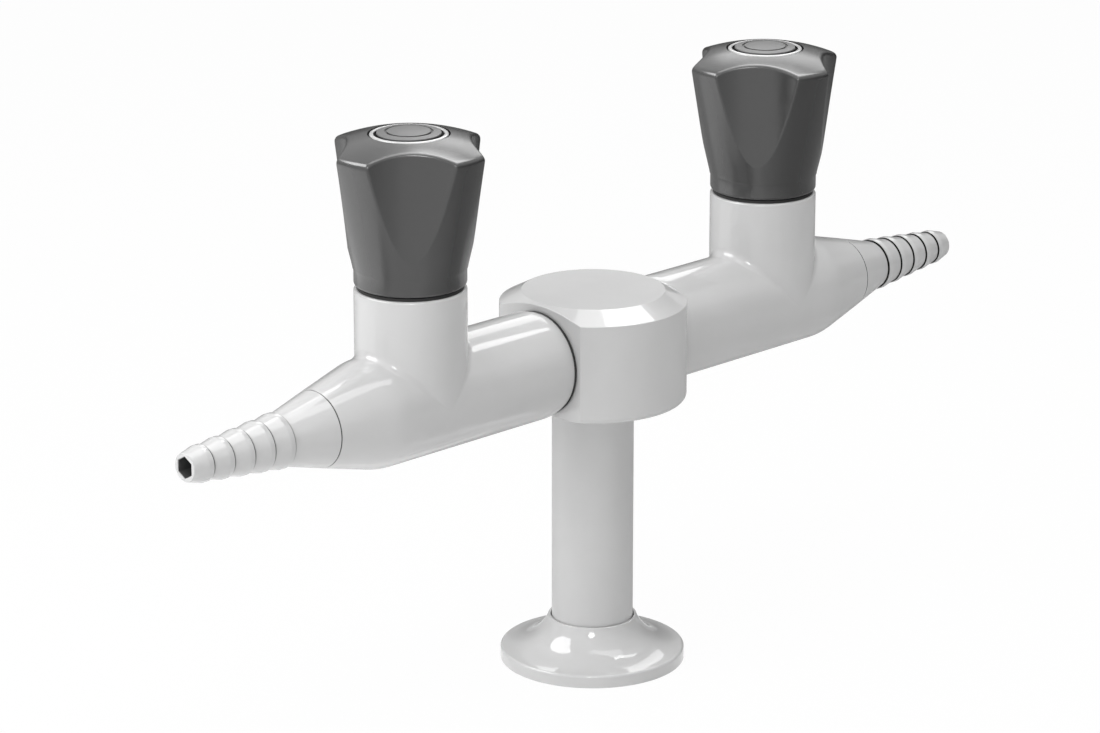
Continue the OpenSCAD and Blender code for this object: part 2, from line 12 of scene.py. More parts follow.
import bmesh
import bpy
import numpy as np
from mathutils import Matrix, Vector

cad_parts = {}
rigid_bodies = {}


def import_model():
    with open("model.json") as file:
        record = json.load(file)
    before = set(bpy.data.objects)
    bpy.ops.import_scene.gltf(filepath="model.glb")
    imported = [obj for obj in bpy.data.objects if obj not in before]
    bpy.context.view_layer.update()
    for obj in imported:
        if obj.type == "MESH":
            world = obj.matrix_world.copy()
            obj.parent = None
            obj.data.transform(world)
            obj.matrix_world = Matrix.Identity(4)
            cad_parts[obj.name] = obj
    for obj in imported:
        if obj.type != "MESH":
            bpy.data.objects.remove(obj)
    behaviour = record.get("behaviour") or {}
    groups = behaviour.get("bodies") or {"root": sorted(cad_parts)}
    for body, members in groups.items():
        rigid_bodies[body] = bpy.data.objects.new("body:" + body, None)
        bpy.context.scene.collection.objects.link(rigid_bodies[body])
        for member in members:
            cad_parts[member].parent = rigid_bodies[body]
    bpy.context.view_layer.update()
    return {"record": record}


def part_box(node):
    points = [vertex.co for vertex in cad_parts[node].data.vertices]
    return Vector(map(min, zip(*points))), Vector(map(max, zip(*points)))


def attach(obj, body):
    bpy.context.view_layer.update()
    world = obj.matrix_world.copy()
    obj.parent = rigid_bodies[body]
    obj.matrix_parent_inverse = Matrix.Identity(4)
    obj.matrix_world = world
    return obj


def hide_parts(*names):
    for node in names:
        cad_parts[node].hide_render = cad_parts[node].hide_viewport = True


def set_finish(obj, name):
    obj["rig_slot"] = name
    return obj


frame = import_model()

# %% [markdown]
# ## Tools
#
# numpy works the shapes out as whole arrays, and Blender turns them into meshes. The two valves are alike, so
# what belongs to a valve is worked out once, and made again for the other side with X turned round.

MM = 0.001
SIDES = {"left": -1, "right": 1}


def put(name, data):
    """An object that shows this data, linked to the scene at the origin."""
    made = bpy.data.objects.new(name, data)
    bpy.context.scene.collection.objects.link(made)
    return made


# %% [markdown]
# ## Sizes, read from the frame
#
# A drawing office would take these from the parts themselves, and so does this script: each size comes from
# a node's box, so the skin always fits what it covers. All sizes here are in millimetres, and only the last
# step of each surface turns them into Blender's metres.

# %% Sizes


def extent(node):
    """Lowest and highest corner of a node's box, in millimetres."""
    low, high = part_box(node)
    return np.array(low) / MM, np.array(high) / MM


hub_low, hub_high = extent("hub")
column_low, column_high = extent("column")
flange_high = extent("bench_flange")[1]
body_low, body_high = extent("right_body")
nozzle_high = extent("right_nozzle")[1]
knob_low, knob_high = extent("right_knob")
ring_low, ring_high = extent("right_index_ring")

COLUMN_R = column_high[0]
FLANGE_R = flange_high[0]
NECK_H = flange_high[2]
HUB_Z = hub_low[2]
HUB_TOP = hub_high[2]
HUB_R = hub_high[1]
HUB_FACE = hub_high[0]
ARM_R = body_high[1]
ARM_X = body_low[0]
AXIS_H = body_low[2] + ARM_R
STUB_TOP = body_high[2]
RING_R = (ring_high[0] - ring_low[0]) / 2
VALVE_X = (ring_high[0] + ring_low[0]) / 2
KNOB_Z, KNOB_TOP = knob_low[2], knob_high[2]

print("arm axis at", round(AXIS_H, 2), "spindle at", round(VALVE_X, 2))
print("knob from", round(KNOB_Z, 2), "to", round(KNOB_TOP, 2))

# %% [markdown]
# ## Soft outlines
#
# Most pieces of a valve are turned on a lathe, so most of them here are an outline carried round an axis. No
# real edge is quite sharp. A bevel could round them afterwards, but it finds no room beside small steps, so
# the outline's corners are rounded by true arcs first, for the whole array at once.

# %% Soft outlines


def soft_path(corners, radii, steps=6):
    """Round the inner corners of a path. corners is (..., n, 2) and radii (..., n). At corner b the arc's
    centre lies on the bisector, at radius / sin(half angle), and its ends at radius / tan(half angle)."""
    corners = np.asarray(corners, float)
    radii = np.broadcast_to(np.asarray(radii, float), corners.shape[:-1])
    a, b, c = corners[..., :-2, :], corners[..., 1:-1, :], corners[..., 2:, :]
    u = (a - b) / np.linalg.norm(a - b, axis=-1, keepdims=True)
    v = (c - b) / np.linalg.norm(c - b, axis=-1, keepdims=True)
    half = np.arccos(np.clip((u * v).sum(-1), -1, 1)) / 2
    r = radii[..., 1:-1]
    mid = u + v
    mid = mid / np.maximum(np.linalg.norm(mid, axis=-1, keepdims=True), 1e-9)
    centre = b + mid * (r / np.sin(half))[..., None]
    p = b + u * (r / np.tan(half))[..., None] - centre
    q = b + v * (r / np.tan(half))[..., None] - centre
    turn = (math.pi - 2 * half)[..., None, None]
    t = np.linspace(0, 1, steps + 1)[:, None]
    # the arc as a blend of its two end spokes, at even angles
    safe = np.maximum(np.sin(turn), 1e-9)
    arc = (np.sin((1 - t) * turn) * p[..., None, :] + np.sin(t * turn) * q[..., None, :]) / safe
    arc = centre[..., None, :] + np.where(turn < 1e-6, p[..., None, :], arc)
    arc = arc.reshape(arc.shape[:-3] + (-1, 2))
    return np.concatenate([corners[..., :1, :], arc, corners[..., -1:, :]], axis=-2)


def slices(like, corners):
    """One path of (radius, height) corners for each entry of like. A corner's numbers may be arrays too."""
    return np.stack([np.stack([0 * like + r, 0 * like + h], -1) for r, h in corners], -2)


def around(r, a, h):
    """Points at radius r and height h in direction a: x = r cos(a), y = r sin(a), z = h."""
    return np.stack([r * np.cos(a), r * np.sin(a), h + 0 * r * a], -1)


print("a corner in three points", soft_path([[0, 0], [5, 0], [5, 5]], [0, 1, 0], 2).round(2).tolist())

# %% [markdown]
# ## From grids to skins
#
# A grid of points becomes a mesh, with its seams welded, and hard edges are marked where two faces meet at an
# angle. The skin then takes the place of the solid's node, rides on the same body and names its material.

# %% Skins
WELD, SPECK = 2e-6, 1e-7


def grid_faces(rows, cols, wrap_rows=False, wrap_cols=False):
    """Quads of a grid of rows x cols points. Point (i, j) has the number i * cols + j, and a quad joins it
    to the next in its row and to both below. A wrapped grid goes on from its end at its start."""
    i = np.arange(rows if wrap_rows else rows - 1)
    j = np.arange(cols if wrap_cols else cols - 1)
    i, j = np.meshgrid(i, j, indexing="ij")
    i2, j2 = (i + 1) % rows, (j + 1) % cols
    return np.stack([i * cols + j, i * cols + j2, i2 * cols + j2, i2 * cols + j], axis=-1).reshape(-1, 4)


def skin(name, patches, body, slot, replaces, crease=32, soft=True, deep=None):
    """Make one piece from grids of points in millimetres. Each patch is (points, wrap_rows, wrap_cols).
    Patches are welded where they meet, faces are turned outwards, and edges sharper than crease degrees
    stay hard. The last argument maps points in millimetres to a share of painted shade: 1 down in a groove or a
    bore and 0 in the open, and its finish reads it."""
    points, faces, start = [], [], 0
    for grid, wrap_rows, wrap_cols in patches:
        rows, cols = grid.shape[:2]
        points.append(grid.reshape(-1, 3))
        faces.append(grid_faces(rows, cols, wrap_rows, wrap_cols) + start)
        start += rows * cols
    mesh = bpy.data.meshes.new(name)
    mesh.from_pydata((np.concatenate(points) * MM).tolist(), [], np.concatenate(faces).tolist())
    tidy = bmesh.new()
    tidy.from_mesh(mesh)
    bmesh.ops.remove_doubles(tidy, verts=tidy.verts, dist=WELD)
    bmesh.ops.dissolve_degenerate(tidy, edges=tidy.edges, dist=SPECK)
    bmesh.ops.recalc_face_normals(tidy, faces=tidy.faces)
    loose = sum(not e.is_manifold for e in tidy.edges)
    tidy.to_mesh(mesh)
    tidy.free()
    mesh.polygons.foreach_set("use_smooth", np.ones(len(mesh.polygons), bool))
    mesh.set_sharp_from_angle(angle=math.radians(crease))
    if deep:
        place = np.empty(len(mesh.vertices) * 3, np.float32)
        mesh.vertices.foreach_get("co", place)
        # each point's share of painted shade, kept on the mesh for its finish
        painted_shade_layer = mesh.attributes.new("deep", "FLOAT", "POINT")
        painted_shade_layer.data.foreach_set("value", deep(place.reshape(-1, 3) / MM).astype(np.float32))
    piece = put(name, mesh)
    if soft:
        weighted = piece.modifiers.new("Flat faces stay flat", "WEIGHTED_NORMAL")
        weighted.keep_sharp = True
    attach(piece, body)
    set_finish(piece, slot)
    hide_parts(*replaces)
    print(name, len(mesh.polygons), "faces", "open edges", loose)
    return piece


print("faces of a small grid", grid_faces(2, 3).tolist())

# %% [markdown]
# ## Lathe work
#
# On the lathe the work turns and the tool follows the outline. Here each point of the outline becomes a ring.
# Blender's Screw modifier could do it, but rings from an array weld and shade like all the other grids.

# %% Lathe


def turned(outline, count=192, axis="z", at=(0, 0, 0), sign=1):
    """An outline of (radius, height) carried round an axis: x = r cos(a), y = r sin(a), z = h. For the X
    axis the height runs along sign * X."""
    outline = np.asarray(outline, float)
    a = np.linspace(0, 2 * math.pi, count, endpoint=False)
    r, h = outline[:, 0, None], outline[:, 1, None] + 0 * a
    c, s = r * np.cos(a), r * np.sin(a)
    grid = np.stack([c, s, h] if axis == "z" else [sign * h, s, c], axis=-1)
    return grid + np.array(at, float)


def lathe(name, outline, radii, body, slot, replaces, steps=6, crease=32, deep=None, **where):
    """A turned piece from a closed outline of (radius, height) corners."""
    loop = list(outline)
    rounds = list(np.broadcast_to(radii, (len(loop),)))
    path = soft_path([loop[-1]] + loop + [loop[0]], [0] + rounds + [0], steps)[1:-1]
    return skin(name, [(turned(path, **where), True, True)], body, slot, replaces, crease, deep=deep)


print("a ring of four points", turned([[1, 0]], 4).round(2).reshape(-1, 3).tolist())

# %% [markdown]
# ## The bench flange and the column
#
# The foot is one turned piece. Its gentle outer cone and its steep neck flow into each other through a
# large hollow arc, and that arc is what catches the round lights of the studio. The column is a plain tube
# that stands in the neck with a fine gap all round, which reads as a thin dark line.

# %% Bench flange and column
FLANGE_RIM_H = 4.3
FLANGE_RISE = math.radians(5)
NECK_RISE = math.radians(68)
FLARE_R = 16.5
NECK_GAP = 0.35
NECK_WALL = 0.8
FOOT_Z = column_low[2]
RISER_R = 6.5
FOOT_BORE_R, FOOT_BORE_H = 13.5, 2.0
BUSH_HOLE_R = 10.1

neck_in = COLUMN_R + NECK_GAP
neck_out = neck_in + NECK_WALL
# the two slopes meet where their two lines cross
flare_r = (NECK_H + neck_out * math.tan(NECK_RISE) - FLANGE_RIM_H - FLANGE_R * math.tan(FLANGE_RISE)) / (
    math.tan(NECK_RISE) - math.tan(FLANGE_RISE))
flare_z = FLANGE_RIM_H + (FLANGE_R - flare_r) * math.tan(FLANGE_RISE)

# the roundings follow in the order of the corners
lathe("bench_foot", [
    (FOOT_BORE_R, FOOT_BORE_H), (FOOT_BORE_R, 0), (FLANGE_R, 0), (FLANGE_R, FLANGE_RIM_H), (flare_r, flare_z),
    (neck_out, NECK_H), (neck_in, NECK_H), (neck_in, FOOT_Z), (BUSH_HOLE_R, FOOT_Z), (BUSH_HOLE_R, FOOT_BORE_H)],
    [0, 0, 0.3, 0.9, FLARE_R, 0.35, 0.15, 0, 0, 0], "root", "coated_brass", ["bench_flange"], steps=24)

lathe("column_tube", [
    (RISER_R, FOOT_Z), (COLUMN_R, FOOT_Z), (COLUMN_R, HUB_Z), (RISER_R, HUB_Z)],
    [0, 0.3, 0, 0], "root", "column_satin", ["column"])

# %% [markdown]
# ## Two forms that cut each other
#
# Hub and knob are turned forms with other forms cut away. A Boolean would leave a ragged edge that no bevel
# rounds well. So each form is a field, which is below zero inside it, and two fields are joined with a
# rounded corner. The skin lies where the joined field is zero, and is found by halving, for all points.

# %% Fields


def soft_max(a, b, r, cosine=0.0):
    """The inside of two fields at once, with their outer corner rounded to radius r. A ball of radius r in
    a corner whose faces' normals have this cosine cuts r (1 - cos(half the turn)) off it, so the two are
    mixed over a band of four times that: max(a, b) + (band - |a - b|)^2 / (4 band)."""
    band = np.maximum(4 * r * (1 - np.sqrt((1 + np.clip(cosine, -1, 1)) / 2)), 1e-9)
    return np.maximum(a, b) + np.maximum(band - np.abs(a - b), 0) ** 2 / (4 * band)


def reach(field, near, far, rounds=46):
    """Distance at which field(distance) turns positive, halving the span between near and far."""
    near, far = np.broadcast_arrays(np.array(near, float), np.array(far, float))
    near, far = near.copy(), far.copy()
    for _ in range(rounds):
        middle = (near + far) / 2
        inside = field(middle) < 0
        near, far = np.where(inside, middle, near), np.where(inside, far, middle)
    return (near + far) / 2


print("a square corner rounded by 1 lies", round(float(soft_max(0.0, 0.0, 1.0)), 3), "further in")
print("the square root of two", reach(lambda r: r * r - 2, 0, 2).round(4))

# %% [markdown]
# ## Where the samples stand
#
# A long flat stretch needs few points and a tight edge needs many. The samples of a grid therefore run from
# stop to stop, with a count for each stretch between them.

# %% Samples


def bunched(stops, counts):
    """Samples a + (b - a) t from each stop a to the next stop b, with a count for each stretch. stops is a
    list of numbers or of arrays, and each entry of the arrays gets its own row of samples."""
    parts = []
    for a, b, n in zip(stops[:-1], stops[1:], counts):
        t = np.arange(n) / n
        parts.append(np.asarray(a)[..., None] + (np.asarray(b) - np.asarray(a))[..., None] * t)
    parts.append(np.asarray(stops[-1])[..., None])
    return np.concatenate(parts, axis=-1)


print("close in the middle", bunched([0.0, 4.0, 5.0, 9.0], [2, 4, 2]).tolist())

# %% [markdown]
# ## The hub
#
# The hub is a short round bar with a conical top, sawn flat on its two sides where the valves are screwed
# on. Where the flat cuts the cone it leaves a curved edge. Seen from the axis, each upright slice of the
# hub is the same path: floor, wall, cone, lid. Only the wall's distance changes from slice to slice, so one
# grid covers it all, and each corner of the path is rounded by an arc in its own slice.

# %% Hub
HUB_CONE_H = 3.75
HUB_LID_R = 23.5
HUB_EDGE, HUB_SIDE_EDGE = 0.4, 0.3
HUB_FOOT_EDGE, HUB_FLAT_FOOT_EDGE = 2.0, 0.25
CORNER_SPAN = 0.035


def hub_points():
    """Slices of the hub. The wall stands at r with soft_max(r - R, |r cos a| - face) = 0."""
    corner = math.acos(HUB_FACE / HUB_R)
    quarter = bunched([0.0, corner - CORNER_SPAN, corner + CORNER_SPAN, math.pi / 2], [24, 16, 24])
    a = np.concatenate([quarter[:-1], math.pi - quarter[:0:-1], math.pi + quarter[:-1],
                        2 * math.pi - quarter[:0:-1]])
    across = np.abs(np.cos(a))
    wall = reach(lambda r: soft_max(r - HUB_R, r * across - HUB_FACE, HUB_SIDE_EDGE, across), near=0, far=40)
    shoulder = HUB_TOP - HUB_CONE_H * (wall - HUB_LID_R) / (HUB_R - HUB_LID_R)
    foot = np.maximum(HUB_FOOT_EDGE - (HUB_R - wall), HUB_FLAT_FOOT_EDGE)
    zero = 0 * a
    corners = slices(a, [(COLUMN_R, HUB_Z), (wall, HUB_Z), (wall, shoulder), (HUB_LID_R, HUB_TOP), (0, HUB_TOP)])
    path = soft_path(corners, np.stack([zero, foot, zero + HUB_EDGE, zero + HUB_EDGE, zero], -1), 7)
    path = np.concatenate([slices(a, [(0, HUB_Z)]), path], 1)
    return around(path[..., 0], a[:, None], path[..., 1])


skin("hub_block", [(hub_points(), True, False)], "root", "hub_satin", ["hub"], crease=40)

# %% [markdown]
# ## The valve's arm
#
# The body is one forging: a round arm along X, and an upright stub of the same diameter. The arm is drawn in
# a little at the hub's end, runs straight past the stub, and goes over into the nozzle's taper. A long arc
# takes it round that bend, and the hub's end is an arc too, so its radius is a plain function of x.

# %% Arm
CROWN_L, CROWN_IN = 4.8, 0.9
CROWN_R = (CROWN_L ** 2 + CROWN_IN ** 2) / (2 * CROWN_IN)
TAPER_X = 19.7
TAPER = math.radians(14.5)
TAPER_BLEND_R = 28.0
SEAM_GAP = 0.15
SEAM_X = body_high[0] + SEAM_GAP - VALVE_X
SEAM_V = 0.2
HUB_END = ARM_X - VALVE_X


def taper_r(x):
    """Radius of the taper at x from the spindle's axis: it falls by the angle's tangent for each mm."""
    return ARM_R - (x - TAPER_X) * math.tan(TAPER)


def arm_r(x):
    """Radius of the arm at x: drawn in on a large arc at the hub's end, then straight, then round a long
    arc into the taper. An arc of radius R falls by R - sqrt(R^2 - d^2) at a distance d from its top."""
    x = np.asarray(x, float)
    blend_l = TAPER_BLEND_R * math.tan(TAPER / 2)
    start = TAPER_X - blend_l
    end = TAPER_X + blend_l * math.cos(TAPER)
    crown = np.clip(HUB_END + CROWN_L - x, 0, CROWN_L)
    blend = np.clip(x - start, 0, end - start)
    r = ARM_R - CROWN_R + np.sqrt(CROWN_R ** 2 - crown ** 2)
    r = r - TAPER_BLEND_R + np.sqrt(TAPER_BLEND_R ** 2 - blend ** 2)
    return np.where(x > end, taper_r(x), r)


def arm_slope(x):
    """Angle at which the arm's skin leans: its tangent is the fall of the radius over a tiny step."""
    step = 1e-4
    return -np.arctan((arm_r(x + step) - arm_r(x - step)) / (2 * step))


print("radius at the hub, the stub and the seam", arm_r([HUB_END, 0, SEAM_X]).round(2))

# %% [markdown]
# ## The hollow between arm and stub
#
# Two equal cylinders that cross at right angles meet in two flat ellipses, which here form a V that comes to
# a point on the arm's side. A ball rolled along the corner leaves a small hollow arc in it. Its centre keeps
# the same distance from both skins, so it is found by halving, for all directions round the arm at once.

# %% Rolling ball
FILLET_R = 3.0


def ball_centre(x):
    """Centre of a ball that lies on the arm's skin at x, as distances along the arm and from its axis: the
    point on the skin plus the ball's radius along the skin's normal."""
    lean = arm_slope(x)
    return x + FILLET_R * np.sin(lean), arm_r(x) + FILLET_R * np.cos(lean)


def ball_track(a):
    """Where the ball lies on the arm in direction a, towards the hub and towards the nozzle. It touches the
    stub too where its centre's distance from the spindle's axis is the stub's radius plus its own."""

    def miss(x):
        """Below zero while the ball at x still cuts into the stub."""
        cx, cr = ball_centre(x)
        return cx ** 2 + (cr * np.sin(a)) ** 2 - (ARM_R + FILLET_R) ** 2

    out_x = reach(miss, near=0, far=30)
    out_x = np.where(np.abs(np.cos(a)) < 1e-9, 0, out_x)
    return -(ARM_R + FILLET_R) * np.maximum(np.cos(a), 0), out_x


def hollow(x, a):
    """The arc on the ball from the arm's skin to the stub's, as a blend of its two end spokes n1 and n2."""
    cx, cr = ball_centre(x)
    lean = arm_slope(x)
    mid = np.stack([cx, cr * np.sin(a), cr * np.cos(a)], -1)
    n1 = -np.stack([np.sin(lean), np.cos(lean) * np.sin(a), np.cos(lean) * np.cos(a)], -1)
    n2 = -np.stack([cx, cr * np.sin(a), 0 * cx], -1) / (ARM_R + FILLET_R)
    gap = np.arccos(np.clip((n1 * n2).sum(-1), -1, 1))[:, None, None]
    t = np.linspace(0, 1, 9)[None, :, None]
    safe = np.maximum(np.sin(gap), 1e-6)
    arc = (np.sin((1 - t) * gap) * n1[:, None] + np.sin(t * gap) * n2[:, None]) / safe
    arc = np.where(gap < 1e-4, n1[:, None] + 0 * arc, arc)
    return mid[:, None] + FILLET_R * arc


print("on top of the arm the ball lies at x", [round(float(x[0]), 2) for x in ball_track(np.zeros(1))])

# %% [markdown]
# ## The valve body
#
# The body is five grids that share their edges: the arm towards the hub, the arm towards the nozzle, the two
# hollow arcs, and the stub, which stands on the arcs' upper ends and goes over its rim down into the bore.
# The end face inside the seam carries painted shade, so that the seam to the nozzle reads as a fine dark line.

# %% Valve body's grids
SOCKET_R, SOCKET_L = 8.35, 12.5
NIPPLE_L = 12.0
STUB_BORE_R, STUB_FLOOR = 12.03, -4.0
STUB_EDGE, STUB_BORE_EDGE = 0.8, 0.3
STUB_H = STUB_TOP - AXIS_H
ROUND_ARM = np.linspace(-math.pi, math.pi, 192, endpoint=False)


def rings_x(x, r):
    """Rings round the arm's axis at x with radius r: (x, r sin a, r cos a)."""
    a = ROUND_ARM[:, None]
    x, r = np.asarray(x, float) + 0 * a, np.asarray(r, float) + 0 * a
    return np.stack([x, r * np.sin(a), r * np.cos(a)], -1)


def stub_grid(loop):
    """The stub above a loop of points: each slice goes up the wall, over the rim and down the bore."""
    way = loop[:, :2] / np.linalg.norm(loop[:, :2], axis=1, keepdims=True)
    path = soft_path(slices(loop[:, 2], [
        (ARM_R, loop[:, 2]), (ARM_R, STUB_H), (STUB_BORE_R, STUB_H), (STUB_BORE_R, STUB_FLOOR), (0, STUB_FLOOR)]),
        [0, STUB_EDGE, STUB_BORE_EDGE, 0, 0], 7)
    return np.concatenate([way[:, None, :] * path[..., :1], path[..., 1:]], -1)


def body_patches(sign):
    """Arm towards the hub, arm towards the nozzle, two hollow arcs and the stub."""
    upper = np.abs(ROUND_ARM) <= math.pi / 2 + 1e-9
    in_x, out_x = ball_track(ROUND_ARM[upper])
    in_arc, out_arc = hollow(in_x, ROUND_ARM[upper]), hollow(out_x, ROUND_ARM[upper])
    zero = 0 * ROUND_ARM
    edge_in, edge_out = zero.copy(), zero.copy()
    edge_in[upper], edge_out[upper] = in_x, out_x
    hub_end = rings_x([HUB_END + NIPPLE_L, HUB_END + NIPPLE_L, HUB_END], [0, SOCKET_R, SOCKET_R])
    inner = bunched([zero + HUB_END, zero + HUB_END + CROWN_L, edge_in], [10, 8])
    straight_end = zero + TAPER_X + TAPER_BLEND_R * math.tan(TAPER / 2) * math.cos(TAPER)
    outer = bunched([edge_out, straight_end, zero + SEAM_X - SEAM_V], [14, 6])
    seam = rings_x([SEAM_X, SEAM_X, SEAM_X - SOCKET_L, SEAM_X - SOCKET_L],
                   [taper_r(SEAM_X) - SEAM_V, SOCKET_R, SOCKET_R, 0])
    patches = [(np.concatenate([hub_end, rings_x(inner, arm_r(inner))], 1), True, False),
               (np.concatenate([rings_x(outer, arm_r(outer)), seam], 1), True, False),
               (in_arc, False, False), (out_arc, False, False),
               (stub_grid(np.concatenate([out_arc[:, -1], in_arc[-2:0:-1, -1]])), True, False)]
    return [((grid + [VALVE_X, 0, AXIS_H]) * [sign, 1, 1], wr, wc) for grid, wr, wc in patches]


print("rows and columns", [grid.shape[:2] for grid, _, _ in body_patches(1)])

# %% [markdown]
# ## Two bodies
#
# The left body is the right one with its X turned round. Such a mirror turns a mesh inside out, and `skin`
# turns the faces outwards again once the patches are welded.

# %% Valve bodies


def body_painted_shade(points):
    """Painted shade: 1 on the end face inside the seam to the nozzle, where the gap lies in shade."""
    return np.abs(points[:, 0]) - VALVE_X > SEAM_X - SEAM_V * 0.4


for side, sign in SIDES.items():
    skin(f"{side}_valve_body", body_patches(sign), "root", "coated_brass", [f"{side}_body"], crease=36,
         deep=body_painted_shade)

# %% [markdown]
# ## The barbs
#
# The nozzle is turned, and it carries on the body's taper. Each barb is a saw tooth: a steep back, a short
# land and a long slope, so that a hose slides on and won't slide off. A fine groove lies at the foot of each
# back. All the teeth are alike but for their size, so one array holds the corners of all five.

# %% Barbs
BARBS, BARB_PITCH, BARB_DROP = 5, 7.5, 0.75
BARB_R = 8.9
BARB_START, BARB_LAND, BARB_STEP = 15.9, 1.75, 0.4
GROOVE_W, GROOVE_D, GROOVE_EDGE = 0.5, 0.5, 0.06
# painted shade covers each steep back this far above its foot, and fades out over a first stretch of the slope this
# long
SHADE_H, SHADE_L = 0.18, 0.4
BACK_EDGE, LAND_EDGE = 0.1, 0.15
TIP_R, TIP_EDGE, TIP_FACE = 4.5, 0.25, 0.7
TIP_X = nozzle_high[0] - VALVE_X - SEAM_X
KEY_FLAT, KEY_DEPTH, KEY_EDGE = 3.0, 12.0, 0.25
BORE_R = 2.75
SHANK_R, SHANK_L, SHANK_EDGE = 8.3, 12.0, 0.6
SEAM_EDGE = 0.15


def barb_outline():
    """Corners (radius, distance from the seam) and their roundings, from the shank to the tip."""
    i = np.arange(BARBS)
    land_r = BARB_R - i * BARB_DROP
    land_x = BARB_START + i * BARB_PITCH
    foot_r = land_r - BARB_STEP
    foot_r[0] = taper_r(SEAM_X + BARB_START)
    # a groove at the foot of each barb, its steep back in two parts, and its land
    groove_r = foot_r - GROOVE_D
    # the long slope, or the taper before the first barb, has a stretch of its own for the painted shade at its foot
    slope = (BARB_DROP - BARB_STEP) / (BARB_PITCH - BARB_LAND - GROOVE_W)
    near_r = foot_r + SHADE_L * np.where(i > 0, -slope, math.tan(TAPER))
    tooth = np.stack([near_r, land_x - GROOVE_W - SHADE_L, foot_r, land_x - GROOVE_W, groove_r,
                      land_x - GROOVE_W, groove_r, land_x, foot_r + SHADE_H, land_x, land_r, land_x,
                      land_r, land_x + BARB_LAND], 1).reshape(-1, 2)
    rounds = np.tile([0, GROOVE_EDGE, 0, 0, 0, BACK_EDGE, LAND_EDGE], BARBS)
    start = [[BORE_R, -SHANK_L], [SHANK_R, -SHANK_L], [SHANK_R, SEAM_V], [taper_r(SEAM_X + SEAM_V), SEAM_V]]
    end = [[TIP_R, TIP_X], [KEY_FLAT + TIP_FACE, TIP_X]]
    return (np.concatenate([start, tooth, end]),
            np.concatenate([[0, SHANK_EDGE, 0, SEAM_EDGE], rounds, [TIP_EDGE, 0]]))


print("corners of the nozzle", len(barb_outline()[0]), "tip at", round(TIP_X, 2), "from the seam")

# %% [markdown]
# ## The key socket
#
# A hexagon socket in the tip takes the key that screws the nozzle in. Its corners come from the distance to
# the nearest flat, divided by the cosine of the angle to it, so it needs no Boolean: the same rings that run
# round the outside turn into it over the tip, and back into the round bore behind it.

# %% Key socket
BORE_STEP = 0.1


def nozzle_patch(sign, count=192):
    """The turned outside, then the six-sided socket and the round bore back to the shank. A hexagon's radius
    is flat / cos(angle to the nearest flat)."""
    outside = soft_path(*barb_outline(), steps=5)
    a = np.linspace(0, 2 * math.pi, count, endpoint=False)
    hexagon = KEY_FLAT / np.cos((a % (math.pi / 3)) - math.pi / 6)
    inside = [(hexagon + KEY_EDGE, TIP_X), (hexagon, TIP_X - KEY_EDGE), (hexagon, TIP_X - KEY_DEPTH),
              (BORE_R + 0 * a, TIP_X - KEY_DEPTH - BORE_STEP)]
    r = np.concatenate([outside[:, :1] + 0 * a, np.stack([p[0] for p in inside])])
    x = np.concatenate([outside[:, 1], [p[1] for p in inside]])[:, None] + 0 * a
    grid = np.stack([sign * (VALVE_X + SEAM_X + x), r * np.sin(a), AXIS_H + r * np.cos(a)], -1)
    return [(grid, True, True)]


print("nozzle grid", nozzle_patch(1)[0][0].shape)

# %% [markdown]
# ## Two nozzles
#
# The grooves behind the barbs are so fine that a render would let light spill into them, and they would
# fade. So shade is painted in: each point of the grid carries a share of painted shade, and the paint turns black
# with it.

# %% Hose nozzles
# shares of painted shade in the key socket and at the foot of each slope
SOCKET_PAINTED_SHADE, FOOT_PAINTED_SHADE = 0.85, 0.45
HAIR, NEAR = 0.02, 0.1


def nozzle_painted_shade(points):
    """Painted shade: 1 in the seam and in the grooves, up to the foot of each steep back, a little less in the key
    socket, and half of that where a slope ends at a groove."""
    r = np.hypot(points[:, 1], points[:, 2] - AXIS_H)
    x = np.abs(points[:, 0]) - VALVE_X - SEAM_X
    socket = (r < KEY_FLAT / math.cos(math.pi / 6) + NEAR) & (x > 0) & (x < TIP_X - NEAR)
    barb = np.clip(np.round((x - BARB_START + GROOVE_W / 2) / BARB_PITCH), 0, BARBS - 1)
    before = BARB_START + barb * BARB_PITCH - x
    foot_r = BARB_R - BARB_STEP - BARB_DROP * barb
    back = (np.abs(before) < HAIR) & (r < foot_r + SHADE_H + HAIR)
    groove = (before > 0) & (before < GROOVE_W + HAIR) & (r < foot_r - GROOVE_D * 0.6)
    foot = (np.abs(before - GROOVE_W) < NEAR) & (r > foot_r - GROOVE_D / 2)
    seam = (np.abs(x - SEAM_V) < NEAR / 2) & (r < taper_r(SEAM_X) - NEAR / 2)
    return np.maximum.reduce([SOCKET_PAINTED_SHADE * socket, 1.0 * (back | groove | seam), FOOT_PAINTED_SHADE * foot])


for side, sign in SIDES.items():
    skin(f"{side}_hose_nozzle", nozzle_patch(sign), "root", "coated_brass", [f"{side}_nozzle"], crease=35,
         deep=nozzle_painted_shade)

# %% [markdown]
# ## The knob's outline
#
# The knob is moulded plastic: a turned form that widens upwards to a domed top, with four hollows pressed
# in from the sides, which leave four lobes to grip. First comes the turned form: a round skirt, a hollow arc,
# sides that lean outwards, and a dome that is part of a ball.

# %% Knob outline
SKIRT_IN, SKIRT_EDGE = 0.05, 1.2
SKIRT_R = ARM_R - SKIRT_IN
LOBE_R = 27.05
LOBE_H = 44.1
LEAN = math.radians(13.2)
BLEND_R = 21.8
DOME_R = 68.0
DOME_EDGE = 2.0
INDEX_DEPTH, INDEX_SINK, INDEX_PLAY = 2.4, 0.1, 0.05
# the node's box ends at the recess, so the dome rises above it by the height of the cap that is cut off
RECESS_R = RING_R + INDEX_PLAY
KNOB_H = KNOB_TOP - KNOB_Z + DOME_R - math.sqrt(DOME_R ** 2 - RECESS_R ** 2)
